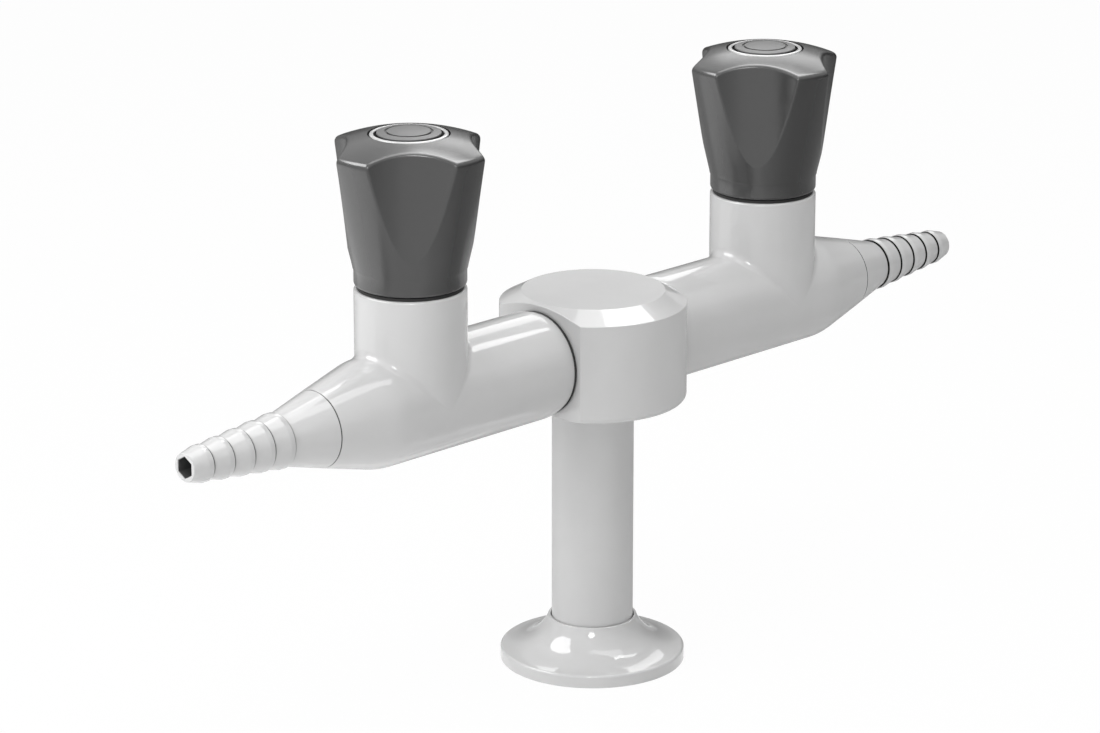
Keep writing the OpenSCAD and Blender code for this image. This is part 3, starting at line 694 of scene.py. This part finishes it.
# the seat for the index is cut to a fixed depth below its rim
INDEX_RISE = KNOB_H - DOME_R + math.sqrt(DOME_R ** 2 - RING_R ** 2) - INDEX_SINK

lobe_foot = LOBE_H - (LOBE_R - SKIRT_R) / math.tan(LEAN)


def dome_h(r):
    """Height of the domed top at distance r from the axis, on a ball: centre + sqrt(R^2 - r^2)."""
    return KNOB_H - DOME_R + np.sqrt(DOME_R ** 2 - r ** 2)


def wall_r(h):
    """Radius of the turned side at height h: straight skirt, hollow arc, then a straight lean outwards."""
    reach_l = BLEND_R * math.tan(LEAN / 2)
    start, end = lobe_foot - reach_l, lobe_foot + reach_l * math.cos(LEAN)
    bend = np.clip(h - start, 0, end - start)
    r = SKIRT_R + BLEND_R - np.sqrt(BLEND_R ** 2 - bend ** 2)
    return np.where(h > end, SKIRT_R + (h - lobe_foot) * math.tan(LEAN), r)


def wall_lean(h):
    """Angle at which the side leans outwards at height h: its tangent is the radius's growth over a step."""
    step = 1e-3
    return np.arctan((wall_r(h + step) - wall_r(h - step)) / (2 * step))


print("knob", round(KNOB_H, 2), "high, index seat at", round(INDEX_RISE, 2))

# %% [markdown]
# ## The knob's field
#
# The skin is where two fields meet: the distance to the turned form and the distance to the nearest hollow's
# round wall. Their corner is rounded where they are joined, a little more at the dome than down the sides, so
# that the edges catch a thin line of light, as moulded edges do.

# %% Knob field
LOBES = 4
HALF_LOBE = math.pi / LOBES
SCALLOP_R, SCALLOP_IN = 28.6, 19.5
SCALLOP_X = SCALLOP_IN + SCALLOP_R
SCALLOP_EDGE, SCALLOP_TOP_EDGE = 0.7, 1.3


def knob_field(x, y, h):
    """Below zero inside the knob. x is along the middle of a lobe. The fields are the distance to the leaning
    side, to the dome's ball, and into the nearest hollow's round wall, which is folded to one lobe's width."""
    r = np.hypot(x, y)
    lean = wall_lean(h)
    side = (r - wall_r(h)) * np.cos(lean)
    above = h - KNOB_H + DOME_R
    lid = np.hypot(r, above) - DOME_R
    side_n = np.stack([np.cos(lean) + 0 * r, -np.sin(lean) + 0 * r])
    lid_n = np.stack([r, above + 0 * r]) / np.hypot(r, above)
    turned_form = soft_max(side, lid, DOME_EDGE, (side_n * lid_n).sum(0))
    a = np.arctan2(y, x)
    a = np.abs((a + HALF_LOBE) % (2 * HALF_LOBE) - HALF_LOBE) - HALF_LOBE
    to_axis = np.hypot(r * np.cos(a) - SCALLOP_X, r * np.sin(a))
    pressed = SCALLOP_R - to_axis
    outward = (SCALLOP_X * np.cos(a) - r) / to_axis
    near_lid = np.clip((lid - side) / 2 + 0.5, 0, 1)
    cosine = outward * (side_n[0] * (1 - near_lid) + lid_n[0] * near_lid)
    edge = SCALLOP_EDGE + (SCALLOP_TOP_EDGE - SCALLOP_EDGE) * near_lid
    return soft_max(turned_form, pressed, edge, cosine)


print("field in the middle of a lobe and of a hollow", [
    round(float(knob_field(r * math.cos(a), r * math.sin(a), np.array(30.0))), 2)
    for r, a in ((wall_r(30.0), 0), (SCALLOP_IN, HALF_LOBE))])

# %% [markdown]
# ## Columns that follow the edges
#
# If the grid's columns stood evenly, they would cross the hollows' edges at a slant and leave a jagged line.
# So at each height the columns crowd round the angle at which the hollow cuts the turned form.

# %% Knob columns
EDGE_MIN, EDGE_MAX = 0.12, math.radians(40)
EDGE_SPAN = 0.05


def scallop_r(a):
    """Distance from the axis to a hollow's wall in direction a from the middle of a lobe: where the ray
    meets a circle of radius R at distance d, d cos(off) - sqrt(R^2 - (d sin(off))^2)."""
    off = HALF_LOBE - np.abs((a + HALF_LOBE) % (2 * HALF_LOBE) - HALF_LOBE)
    inner = SCALLOP_R ** 2 - (SCALLOP_X * np.sin(off)) ** 2
    return np.where(inner > 0, SCALLOP_X * np.cos(off) - np.sqrt(np.maximum(inner, 0)), math.inf)


def edge_angle(h):
    """Angle from the middle of a lobe to the hollow's edge at height h, by the cosine rule, kept off the
    lobe's and the hollow's middles, where the columns would run together."""
    r = wall_r(h)
    cosine = (r ** 2 + SCALLOP_X ** 2 - SCALLOP_R ** 2) / (2 * r * SCALLOP_X)
    return np.clip(HALF_LOBE - np.arccos(np.clip(cosine, -1, 1)), EDGE_MIN, EDGE_MAX)


def knob_columns(h):
    """Angles of the columns at height h, crowded round the hollows' edges."""
    e = edge_angle(h)
    half = bunched([0 * e, e - EDGE_SPAN, e + EDGE_SPAN, 0 * e + HALF_LOBE], [9, 9, 16])
    one = np.concatenate([half[..., :-1], 2 * HALF_LOBE - half[..., :0:-1]], -1)
    return np.concatenate([one + 2 * HALF_LOBE * i for i in range(LOBES)], -1)


print("degrees from a lobe's middle to the hollow", np.degrees(edge_angle(np.array([20.0, 30.0, 40.0]))).round(1))

# %% [markdown]
# ## The knob's grid
#
# Below the hollows the rings of the grid follow the turned outline. Beside them a ring lies at one height,
# and its points are found along level rays. Above, the rays fan out from one point on the axis, over the edge
# and the dome to the index's recess. The last rings go down the recess and line the inside.

# %% Knob grid
SKIRT_H, FLARE_FROM, FLARE_TO, SIDE_FROM = 5.0, 5.6, 11.0, 11.4
SIDE_TO = LOBE_H - 3.5
FAN_BELOW, FAN_ABOVE = 0.55, 0.45
CAVITY_R, CAVITY_H = 15.3, 39.0
BOSS_R, BOSS_H = 9.0, 23.0
INSERT_R, INSERT_H = 6.53, 36.5
SCREW_R = 5.2
INDEX_FLOOR = INDEX_RISE - INDEX_DEPTH


def low_rings():
    """The skirt's rounded lower edge and the start of the hollow arc."""
    skirt = soft_path([[CAVITY_R, 0], [SKIRT_R, 0], [SKIRT_R, SKIRT_H]], [0, SKIRT_EDGE, 0], 7)
    flare_h = np.linspace(FLARE_FROM, FLARE_TO, 11)
    low = np.concatenate([skirt, np.stack([wall_r(flare_h), flare_h], 1)])
    return around(low[:, :1], knob_columns(low[:, 1]), low[:, 1:])


def side_rings():
    """Rings beside the hollows, each at one height, found along level rays."""
    h = np.linspace(SIDE_FROM, SIDE_TO, 68)[:, None]
    a = knob_columns(h[:, 0])
    return around(reach(lambda d: knob_field(d * np.cos(a), d * np.sin(a), h), near=5, far=40), a, h)


def top_rings(a):
    """A fan of rays from the axis, crowded at the edge of the dome, up to the rim of the index's recess."""
    corner_r = np.minimum(scallop_r(a), LOBE_R)
    corner = np.arctan2(dome_h(corner_r) - SIDE_TO, corner_r)
    rim = math.atan2(dome_h(RECESS_R) - SIDE_TO, RECESS_R)
    stops = [0 * a, corner * FAN_BELOW, corner + (rim - corner) * FAN_ABOVE, 0 * a + rim]
    rise = bunched(stops, [5, 22, 14]).T[1:]
    c, s = np.cos(rise), np.sin(rise)
    d = reach(lambda t: knob_field(t * c * np.cos(a), t * c * np.sin(a), SIDE_TO + t * s), near=3, far=50)
    return around(d * c, a, SIDE_TO + d * s)


def knob_grid():
    """All of the knob's rings, from the skirt's lower edge over the top and back through the inside."""
    a = knob_columns(np.array([SIDE_TO]))[0]
    inside = np.array([[RECESS_R, INDEX_FLOOR], [SCREW_R, INDEX_FLOOR], [SCREW_R, INSERT_H], [INSERT_R, INSERT_H],
                       [INSERT_R, BOSS_H], [BOSS_R, BOSS_H], [BOSS_R, CAVITY_H], [CAVITY_R, CAVITY_H]])
    return np.concatenate([low_rings(), side_rings(), top_rings(a), around(inside[:, :1], a, inside[:, 1:])])


print("knob grid", knob_grid().shape)

# %% [markdown]
# ## Two knobs
#
# Each knob is turned to the angle at which the picture shows it, and set on its spindle. It rides on the
# body that the hinge turns, so it needs no motion of its own here.

# %% Knobs
KNOB_TURN = {"left": 4.0, "right": -9.0}
# the top of the recess's wall is left without painted shade for this far below its rim
RIM_SHOWN = 0.3


def knob_patch(side, sign):
    """The knob turned to its resting angle and set on its spindle."""
    grid = knob_grid()
    turn = math.radians(KNOB_TURN[side])
    c, s = math.cos(turn), math.sin(turn)
    x, y = grid[..., 0] * c - grid[..., 1] * s, grid[..., 0] * s + grid[..., 1] * c
    return [(np.stack([x + sign * VALVE_X, y, grid[..., 2] + KNOB_Z], -1), True, True)]


def knob_painted_shade(points):
    """Painted shade: 1 in the index's recess, below its rim, and inside the knob."""
    r = np.hypot(np.abs(points[:, 0]) - VALVE_X, points[:, 1])
    return (r < RECESS_R + HAIR) & (points[:, 2] < KNOB_Z + INDEX_RISE - RIM_SHOWN)


for side, sign in SIDES.items():
    skin(f"{side}_knob_shell", knob_patch(side, sign), f"{side}_knob_body", "knob_plastic", [f"{side}_knob"],
         crease=40, soft=False, deep=knob_painted_shade)

# %% [markdown]
# ## The index's plate
#
# A round plate in the top of the knob shows what flows through the valve. Here it is bare, with a groove
# round it. Its top carries on the knob's dome, so its outline takes its heights from the same ball. A pale
# band with a rounded back frames it.

# %% Index plate
BAND_GAP, BAND_W, PLATE_GAP = 0.5, 1.45, 0.8
BAND_R = RING_R - BAND_GAP
BAND_IN_R = BAND_R - BAND_W
PLATE_R = BAND_IN_R - PLATE_GAP
PLATE_TOP_R = PLATE_R - 0.5
PLATE_RIM_H, PLATE_RIM_W, PLATE_EDGE = 0.6, 0.4, 0.25
LINE_R, LINE_W, LINE_DEPTH, LINE_LIP = PLATE_R * 0.68, 0.7, 0.5, 0.06


def dome_path(near, far, steps=12):
    """Points on the dome, at even steps from one distance to another."""
    r = np.linspace(near, far, steps + 1)
    return np.stack([r, dome_h(r)], 1)


def plate_outline():
    """The plate's outline: its top carries on the dome, with one groove cut into it, which painted shade turns
    black.
    """
    line_z = dome_h(LINE_R) - LINE_DEPTH
    far = LINE_R + LINE_W
    rim = [[PLATE_R, dome_h(PLATE_R) - PLATE_RIM_H], [PLATE_R, dome_h(PLATE_R)],
           [PLATE_R - PLATE_RIM_W, dome_h(PLATE_R - PLATE_RIM_W)]]
    return np.concatenate([
        [[0, INDEX_FLOOR], [PLATE_R, INDEX_FLOOR]], soft_path(rim, [0, PLATE_EDGE, 0], 5),
        dome_path(PLATE_TOP_R, far + LINE_LIP), [[far, line_z], [LINE_R, line_z]],
        dome_path(LINE_R - LINE_LIP, 0.0)])


print("plate", round(2 * PLATE_R, 2), "across, its groove", round(2 * LINE_R, 2))

# %% [markdown]
# ## The index's band
#
# The band is turned too. Its foot fills the knob's seat, while the band above it is a little narrower, so
# that a gap runs round it, made dark by painted shade on its walls. Band and plate ride on the knob's body and turn
# with it.

# %% Index band
FOOT_H = 0.8
HOLE_PLAY, BAND_SINK, BAND_EDGE = 0.05, 0.05, 0.5


def band_outline():
    """Corners of the band and its foot, from the hole along the seat, up the outside and down again."""
    foot_z, hole_r = INDEX_FLOOR + FOOT_H, PLATE_R + HOLE_PLAY
    return [(hole_r, INDEX_FLOOR), (RING_R, INDEX_FLOOR), (RING_R, foot_z), (BAND_R, foot_z),
            (BAND_R, dome_h(BAND_R) - BAND_SINK), (BAND_IN_R, dome_h(BAND_IN_R) - BAND_SINK), (BAND_IN_R, foot_z),
            (hole_r, foot_z)]


def index_painted_shade(points):
    """Painted shade: 1 below the dome by more than the rounding of its edges, in the groove and down the gaps."""
    r = np.hypot(np.abs(points[:, 0]) - VALVE_X, points[:, 1])
    return points[:, 2] < KNOB_Z + dome_h(r) - LINE_DEPTH * 0.9


for side, sign in SIDES.items():
    place = (sign * VALVE_X, 0, KNOB_Z)
    lathe(f"{side}_index_band", band_outline(), [0, 0, 0, 0, BAND_EDGE, BAND_EDGE, 0, 0], f"{side}_knob_body",
          "index_white", [f"{side}_index_ring"], at=place, steps=8, deep=index_painted_shade)
    skin(f"{side}_index_plate", [(turned(plate_outline(), at=place), False, True)], f"{side}_knob_body",
         "index_grey", [f"{side}_index_disc"], deep=index_painted_shade)

# %% [markdown]
# ## The hub's seals
#
# A black rubber ring is clamped between each arm and the hub's flat. Only its rim shows, as a dark line that
# parts the glossy arm from the hub, so a plain ring with two soft edges will do.

# %% Hub seals
SEAL_W, SEAL_IN, SEAL_EDGE = 5.3, 0.7, 0.4
seal_r = ARM_R - SEAL_IN
seal_hole_r = ARM_R - SEAL_IN - SEAL_W

for side, sign in SIDES.items():
    lathe(f"{side}_arm_seal", [(seal_hole_r, HUB_FACE), (seal_r, HUB_FACE), (seal_r, ARM_X), (seal_hole_r, ARM_X)],
          [0, SEAL_EDGE, SEAL_EDGE, 0], "root", "rubber", [f"{side}_hub_seal"], axis="x", sign=sign,
          at=(0, 0, AXIS_H))

# %% [markdown]
# ## Nodes by the handful
#
# A finish in Blender is a tree of nodes. It could be laid out by hand in the shader editor. A script that
# adds a node, fills its inputs and links them in one step stays short, and keeps all the finishes alike.

# %% Node helpers


def fill(tree, node, inputs):
    """Set a node's inputs. A plain value is written in, and the output of another node is linked."""
    for key, value in inputs.items():
        if isinstance(value, bpy.types.NodeSocket):
            tree.links.new(value, node.inputs[key])
        else:
            node.inputs[key].default_value = value
    return node


def add(tree, kind, inputs, **settings):
    """A new node of this kind, with its settings and its inputs."""
    node = tree.nodes.new("ShaderNode" + kind)
    for name, value in settings.items():
        setattr(node, name, value)
    return fill(tree, node, inputs)


def carry(tree, source, source_low, source_high, low, high):
    """Carry one range of numbers over to another, and hold it at the ends."""
    node = add(tree, "MapRange", {"From Min": source_low, "From Max": source_high, "To Min": low, "To Max": high})
    return fill(tree, node, {"Value": source}).outputs["Result"]


def mixed(tree, share, first, second):
    """The first colour where share is 0 and the second where it is 1."""
    return add(tree, "Mix", {0: share, 6: first, 7: second}, data_type="RGBA").outputs[2]


def grey(value):
    """A neutral colour of this brightness."""
    return value, value, value, 1


print("a mid grey", grey(0.5))

# %% [markdown]
# ## What a finish is made of
#
# No paint is quite even. The colour drifts a little over a couple of centimetres, the shine drifts too, and
# a long wave and a fine grain are pressed into the surface. A painted image could show that, but it would
# stretch at the poles, so the drift is noise in space, read at each piece's Object coordinates.

# %% A finish
NOISE_LOW, NOISE_HIGH = 0.3, 0.7
DRIFT_SCALE, SHINE_SCALE, GRAIN_SCALE = 45.0, 160.0, 900.0
WAVE_H, GRAIN_H = 0.0002, 0.00003
TINT, ROUGH_DRIFT = 0.02, 0.08
# the colour of painted shade in grooves, seams, bores and recesses
PAINTED_SHADE_COLOUR = grey(0.006)


def relief(tree, where, layers):
    """Bumps laid over each other, for each layer with a strength: (strength, scale of the noise, height)."""
    normal = None
    for strength, scale, height in layers:
        if strength:
            cloud = add(tree, "TexNoise", {"Vector": where, "Scale": scale, "Detail": 1.0}).outputs["Fac"]
            bump = add(tree, "Bump", {"Strength": strength, "Distance": height, "Height": cloud})
            if normal:
                fill(tree, bump, {"Normal": normal})
            normal = bump.outputs["Normal"]
    return normal


def finish_of(name, color, rough, wave=0.0, wave_scale=60.0, grain=0.0, coat=0.0, coat_rough=0.08, metal=0.0,
              spec=0.5):
    """A finish: a base colour that drifts a little, a roughness that drifts too, and a bump from a long wave
    and a fine grain. Where the piece carries painted shade, as in a groove or a bore, the colour falls to black."""
    made = bpy.data.materials.new(name)
    made.use_nodes = True
    tree = made.node_tree
    where = add(tree, "TexCoord", {}).outputs["Object"]
    drift = add(tree, "TexNoise", {"Vector": where, "Scale": DRIFT_SCALE, "Detail": 3.0}).outputs["Fac"]
    shine = add(tree, "TexNoise", {"Vector": where, "Scale": SHINE_SCALE, "Detail": 2.0}).outputs["Fac"]
    paint = mixed(tree, carry(tree, drift, NOISE_LOW, NOISE_HIGH, 0.0, 1.0),
                  (*[c * (1 - TINT) for c in color], 1), (*[min(c * (1 + TINT), 1) for c in color], 1))
    # the share of painted shade that the skin carries at each point
    painted_shade_share = add(tree, "Attribute", {}, attribute_name="deep").outputs["Fac"]
    low, high = rough * (1 - ROUGH_DRIFT), rough * (1 + ROUGH_DRIFT)
    shader = fill(tree, tree.nodes["Principled BSDF"], {
        "Metallic": metal, "Specular IOR Level": spec, "Coat Weight": coat, "Coat Roughness": coat_rough,
        "Base Color": mixed(tree, painted_shade_share, paint, PAINTED_SHADE_COLOUR),
        "Roughness": carry(tree, shine, NOISE_LOW, NOISE_HIGH, low, high)})
    normal = relief(tree, where, [(wave, wave_scale, WAVE_H), (grain, GRAIN_SCALE, GRAIN_H)])
    if normal:
        fill(tree, shader, {"Normal": normal})
        if coat:
            fill(tree, shader, {"Coat Normal": normal})
    return made


print("the colour drifts over about", round(1000 / DRIFT_SCALE), "mm and the shine over", round(1000 / SHINE_SCALE))

# %% [markdown]
# ## Finishes
#
# The valves and the foot are powder coated: a pale paint with a glossy skin that is never quite flat, so a
# faint long wave is pressed into its shine. The hub has the same paint with a calmer skin, and the column's
# is duller. The knobs are a dark plastic with a finely eroded face. What lies inside is bare metal and
# fluoropolymer, for whoever opens the valve up.

# %% Finishes
FINISHES = {
    "coated_brass": finish_of("Powder coat, glossy", (0.62, 0.62, 0.62), 0.42, wave=0.04, wave_scale=300,
                              grain=0.03, coat=1.0, coat_rough=0.04, spec=0.1),
    "hub_satin": finish_of("Powder coat, hub", (0.62, 0.62, 0.62), 0.42, wave=0.03, grain=0.03, coat=1.0,
                           coat_rough=0.05, spec=0.1),
    "column_satin": finish_of("Powder coat, satin column", (0.61, 0.61, 0.61), 0.5, wave=0.03, grain=0.2),
    "knob_plastic": finish_of("Knob plastic", (0.034, 0.034, 0.034), 0.24, grain=0.04, spec=0.9),
    "index_white": finish_of("Index band", (0.55, 0.55, 0.55), 0.2, coat=0.5),
    "index_grey": finish_of("Index plate", (0.12, 0.12, 0.12), 0.4, grain=0.1),
    "rubber": finish_of("Seal rubber", (0.012, 0.012, 0.012), 0.6, grain=0.3),
    "ptfe": finish_of("Fluoropolymer", (0.80, 0.79, 0.76), 0.45, grain=0.1),
    "brass": finish_of("Turned brass", (0.72, 0.53, 0.25), 0.28, metal=1.0, grain=0.3),
    "steel": finish_of("Turned steel", (0.56, 0.56, 0.57), 0.3, metal=1.0, grain=0.3),
}

slot_of = {row["node"]: row["material_slot"] for row in frame["record"]["subparts"]}
for piece in bpy.context.scene.objects:
    if piece.type == "MESH":
        slot = piece.get("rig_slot") or slot_of[piece.name]
        piece.data.materials.clear()
        piece.data.materials.append(FINISHES[slot])
print("finishes", len(FINISHES))

# %% [markdown]
# ## The floor
#
# The floor is white paper. A strong lamp could burn it out to white, but it would burn out the valve too. So
# the paper glows at full white for the rays that show the page, and is plain paper for all others. A small
# share of plain paper is kept for those too, and that leaves a trace of the valve's own soft shadow.

# %% Floor
WHITE = grey(1.0)
PAPER = grey(0.85)
PAGE_SHARE = 0.96
FLOOR = 6.0


def eye_rays(tree):
    """One for the rays that show the page: straight from the camera, mirrored, or through something clear."""
    rays = add(tree, "LightPath", {}).outputs
    either = add(tree, "Math", {0: rays["Is Camera Ray"], 1: rays["Is Glossy Ray"]}, operation="MAXIMUM")
    either = add(tree, "Math", {0: either.outputs[0], 1: rays["Is Transmission Ray"]}, operation="MAXIMUM")
    return either.outputs[0]


floor_mesh = bpy.data.meshes.new("floor")
floor_mesh.from_pydata([(-FLOOR, -FLOOR, 0), (FLOOR, -FLOOR, 0), (FLOOR, FLOOR, 0), (-FLOOR, FLOOR, 0)], [],
                       [(0, 1, 2, 3)])
floor = put("floor", floor_mesh)

paper = bpy.data.materials.new("White paper")
paper.use_nodes = True
tree = paper.node_tree
plain = fill(tree, tree.nodes["Principled BSDF"], {
    "Base Color": PAPER, "Roughness": 0.9, "Specular IOR Level": 0.0})
page = add(tree, "Emission", {"Color": WHITE, "Strength": 1.0})
share = add(tree, "Math", {0: eye_rays(tree), 1: PAGE_SHARE}, operation="MULTIPLY")
blend = add(tree, "MixShader", {0: share.outputs[0], 1: plain.outputs[0], 2: page.outputs[0]})
fill(tree, tree.nodes["Material Output"], {"Surface": blend.outputs[0]})
floor.data.materials.append(paper)
print("floor", 2 * FLOOR, "m across")

# %% [markdown]
# ## The world
#
# Beyond the paper the world is white too, for the same rays. For the paint it is a plain grey sky, which
# fills in what the lamps leave.

# %% World
SKY = 0.41

world = bpy.data.worlds.new("studio")
bpy.context.scene.world = world
world.use_nodes = True
tree = world.node_tree
sky = fill(tree, tree.nodes["Background"], {"Color": WHITE, "Strength": SKY})
page = add(tree, "Background", {"Color": WHITE, "Strength": 1.0})
blend = add(tree, "MixShader", {0: eye_rays(tree), 1: sky.outputs[0], 2: page.outputs[0]})
fill(tree, tree.nodes["World Output"], {"Surface": blend.outputs[0]})
print("sky", SKY)

# %% [markdown]
# ## Lamps by turn and rise
#
# A lamp's place is given the way a photographer would say it: so many degrees round from the camera, so high
# above the horizon. Its brightness is what a mirror would show, where 1 is the white of the page, so its
# power is brightness times area times pi. Blender can hide a lamp from the paint or from the gloss.

# %% Lamps
AROUND = math.radians(-44.85)
CENTRE = Vector((0, 0, 0.11))


def toward(turn, rise):
    """Direction from the valve at turn degrees to the right of the camera and rise degrees up."""
    turn, rise = AROUND + math.radians(turn), math.radians(rise)
    return Vector((math.sin(turn) * math.cos(rise), -math.cos(turn) * math.cos(rise), math.sin(rise)))


def panel(name, turn, rise, distance, size, bright, seen="both", shape="RECTANGLE"):
    """A lamp that faces the valve, for paint and gloss, or for only one of them."""
    data = bpy.data.lights.new(name, "AREA")
    data.shape = shape
    data.size, data.size_y = size
    area = size[0] * size[1] * (1 if shape == "RECTANGLE" else math.pi / 4)
    data.energy = bright * area * math.pi
    lamp = put(name, data)
    way = toward(turn, rise)
    lamp.location = CENTRE + way * distance
    lamp.rotation_euler = way.to_track_quat("Z", "Y").to_euler()
    lamp.visible_glossy = seen != "paint"
    lamp.visible_diffuse = seen != "gloss"
    return lamp


print("the camera looks from", [round(c, 2) for c in toward(0, 0)])

# %% [markdown]
# ## Soft panels
#
# Five soft panels light the paint, most of them from the left and from above. All but the one overhead are
# kept out of the gloss, where they would show as extra patches.

# %% Panels
panel("top panel", 120, 80, 1.1, (0.8, 0.8), 2.6)
panel("left panel", -86, 43, 1.2, (0.75, 0.68), 1.6, "paint")
panel("front high panel", 10, 62, 1.2, (0.6, 0.6), 2.3, "paint")
panel("front left panel", -52, 8, 1.6, (0.7, 0.6), 2.7, "paint")
panel("key", -44, 34, 1.3, (0.7, 0.5), 4.0, "paint")

# %% [markdown]
# ## Bright cards
#
# Cards do the opposite: they are seen only in the gloss, as the round spots on the foot, the long line on the
# arms and the pale edge of the knobs' domes. One lies flat beside the foot and brightens what the undersides
# mirror.

# %% Cards
LOW_CARD_TURN, LOW_CARD_H = -92, 0.004

panel("left card", -86, 48, 1.19, (0.95, 0.75), 7.0, "gloss", "ELLIPSE")
panel("spot card", -2, 33, 1.3, (0.34, 0.32), 12.0, "gloss", "ELLIPSE")
panel("back card", 170, 31, 1.2, (0.6, 0.44), 1.9, "gloss")
panel("high back card", 156, 61, 1.2, (0.76, 0.46), 5.0, "gloss")
low_card = panel("low left card", LOW_CARD_TURN, 0, 0.45, (0.42, 0.5), 0.55, "gloss")
low_card.location.z = LOW_CARD_H
low_card.rotation_euler = (math.pi, 0, AROUND + math.radians(LOW_CARD_TURN))
low_card.visible_camera = False

# %% [markdown]
# ## Grey cloth
#
# A glossy pale valve on a white page would melt into it. So a photographer hangs cloth where only the gloss
# sees it: on the bench, as a low wall round the right, the back and the left, and above that wall. Each
# strip is darkest to the right and at the back, and gives the edges there a darker contour. The front stays
# open.

# %% Grey cloth
CLOTH_PALE_TURN = -45
LEAN_DARK, LEAN_PALE = -0.5, 0.8
CLOTH_FROM, CLOTH_TO = 15, 300


def cloth(name, dark, pale):
    """Cloth seen only in the gloss. Its side towards the camera's left is pale, the far side dark."""
    made = bpy.data.materials.new(name)
    made.use_nodes = True
    tree = made.node_tree
    tree.nodes.remove(tree.nodes["Principled BSDF"])
    where = add(tree, "TexCoord", {}).outputs["Object"]
    way = add(tree, "VectorMath", {0: where}, operation="NORMALIZE").outputs[0]
    lean = add(tree, "VectorMath", {0: way, 1: toward(CLOTH_PALE_TURN, 0)}, operation="DOT_PRODUCT")
    glow = add(tree, "Emission", {
        "Strength": carry(tree, lean.outputs["Value"], LEAN_DARK, LEAN_PALE, dark, pale)})
    fill(tree, tree.nodes["Material Output"], {"Surface": glow.outputs[0]})
    return made


def band_of_cloth(name, inner, outer, material):
    """A strip of cloth round the right, the back and the left, between two arcs of given radius and height."""
    arc = [toward(turn, 0) for turn in np.linspace(CLOTH_FROM, CLOTH_TO, 90)]
    loops = [[(way.x * r, way.y * r, z) for way in arc] for r, z in (inner, outer)]
    mesh = bpy.data.meshes.new(name)
    mesh.from_pydata(loops[0] + loops[1], [], grid_faces(2, len(arc)).tolist())
    mesh.materials.append(material)
    strip = put(name, mesh)
    strip.visible_camera = strip.visible_diffuse = strip.visible_shadow = strip.visible_transmission = False
    print(name, len(mesh.polygons), "faces")


CLOTH_R, CLOTH_LOW, CLOTH_HIGH = 1.0, 0.32, 0.58
ON_BENCH, NEAR_FOOT = 0.001, 0.05
band_of_cloth("cloth on the bench", (NEAR_FOOT, ON_BENCH), (CLOTH_R, ON_BENCH), cloth("Grey cloth", 0.38, 1.0))
band_of_cloth("cloth wall", (CLOTH_R, ON_BENCH), (CLOTH_R, CLOTH_LOW), cloth("Black cloth", 0.08, 0.9))
band_of_cloth("cloth top", (CLOTH_R, CLOTH_LOW), (CLOTH_R, CLOTH_HIGH), cloth("Dim cloth", 0.46, 1.0))

# %% [markdown]
# ## The camera
#
# The camera stands to the left front, a little above the valve, with a long lens, as the picture asks. Its
# lens, height and distance were found by laying the valve's edges over the picture's.

# %% Camera
LENS_MM = 143.36
SENSOR_MM = 36.0
RISE = 17.444
DISTANCE = 1.43692
TARGET = Vector((-0.010003, 0.009950, 0.10119))

data = bpy.data.cameras.new("camera")
data.lens, data.sensor_width = LENS_MM, SENSOR_MM
camera = put("camera", data)
back = toward(0, RISE)
camera.location = TARGET + back * DISTANCE
camera.rotation_euler = back.to_track_quat("Z", "Y").to_euler()
bpy.context.scene.camera = camera
bpy.context.scene.view_settings.view_transform = "Standard"
print("camera at", [round(c, 3) for c in camera.location])
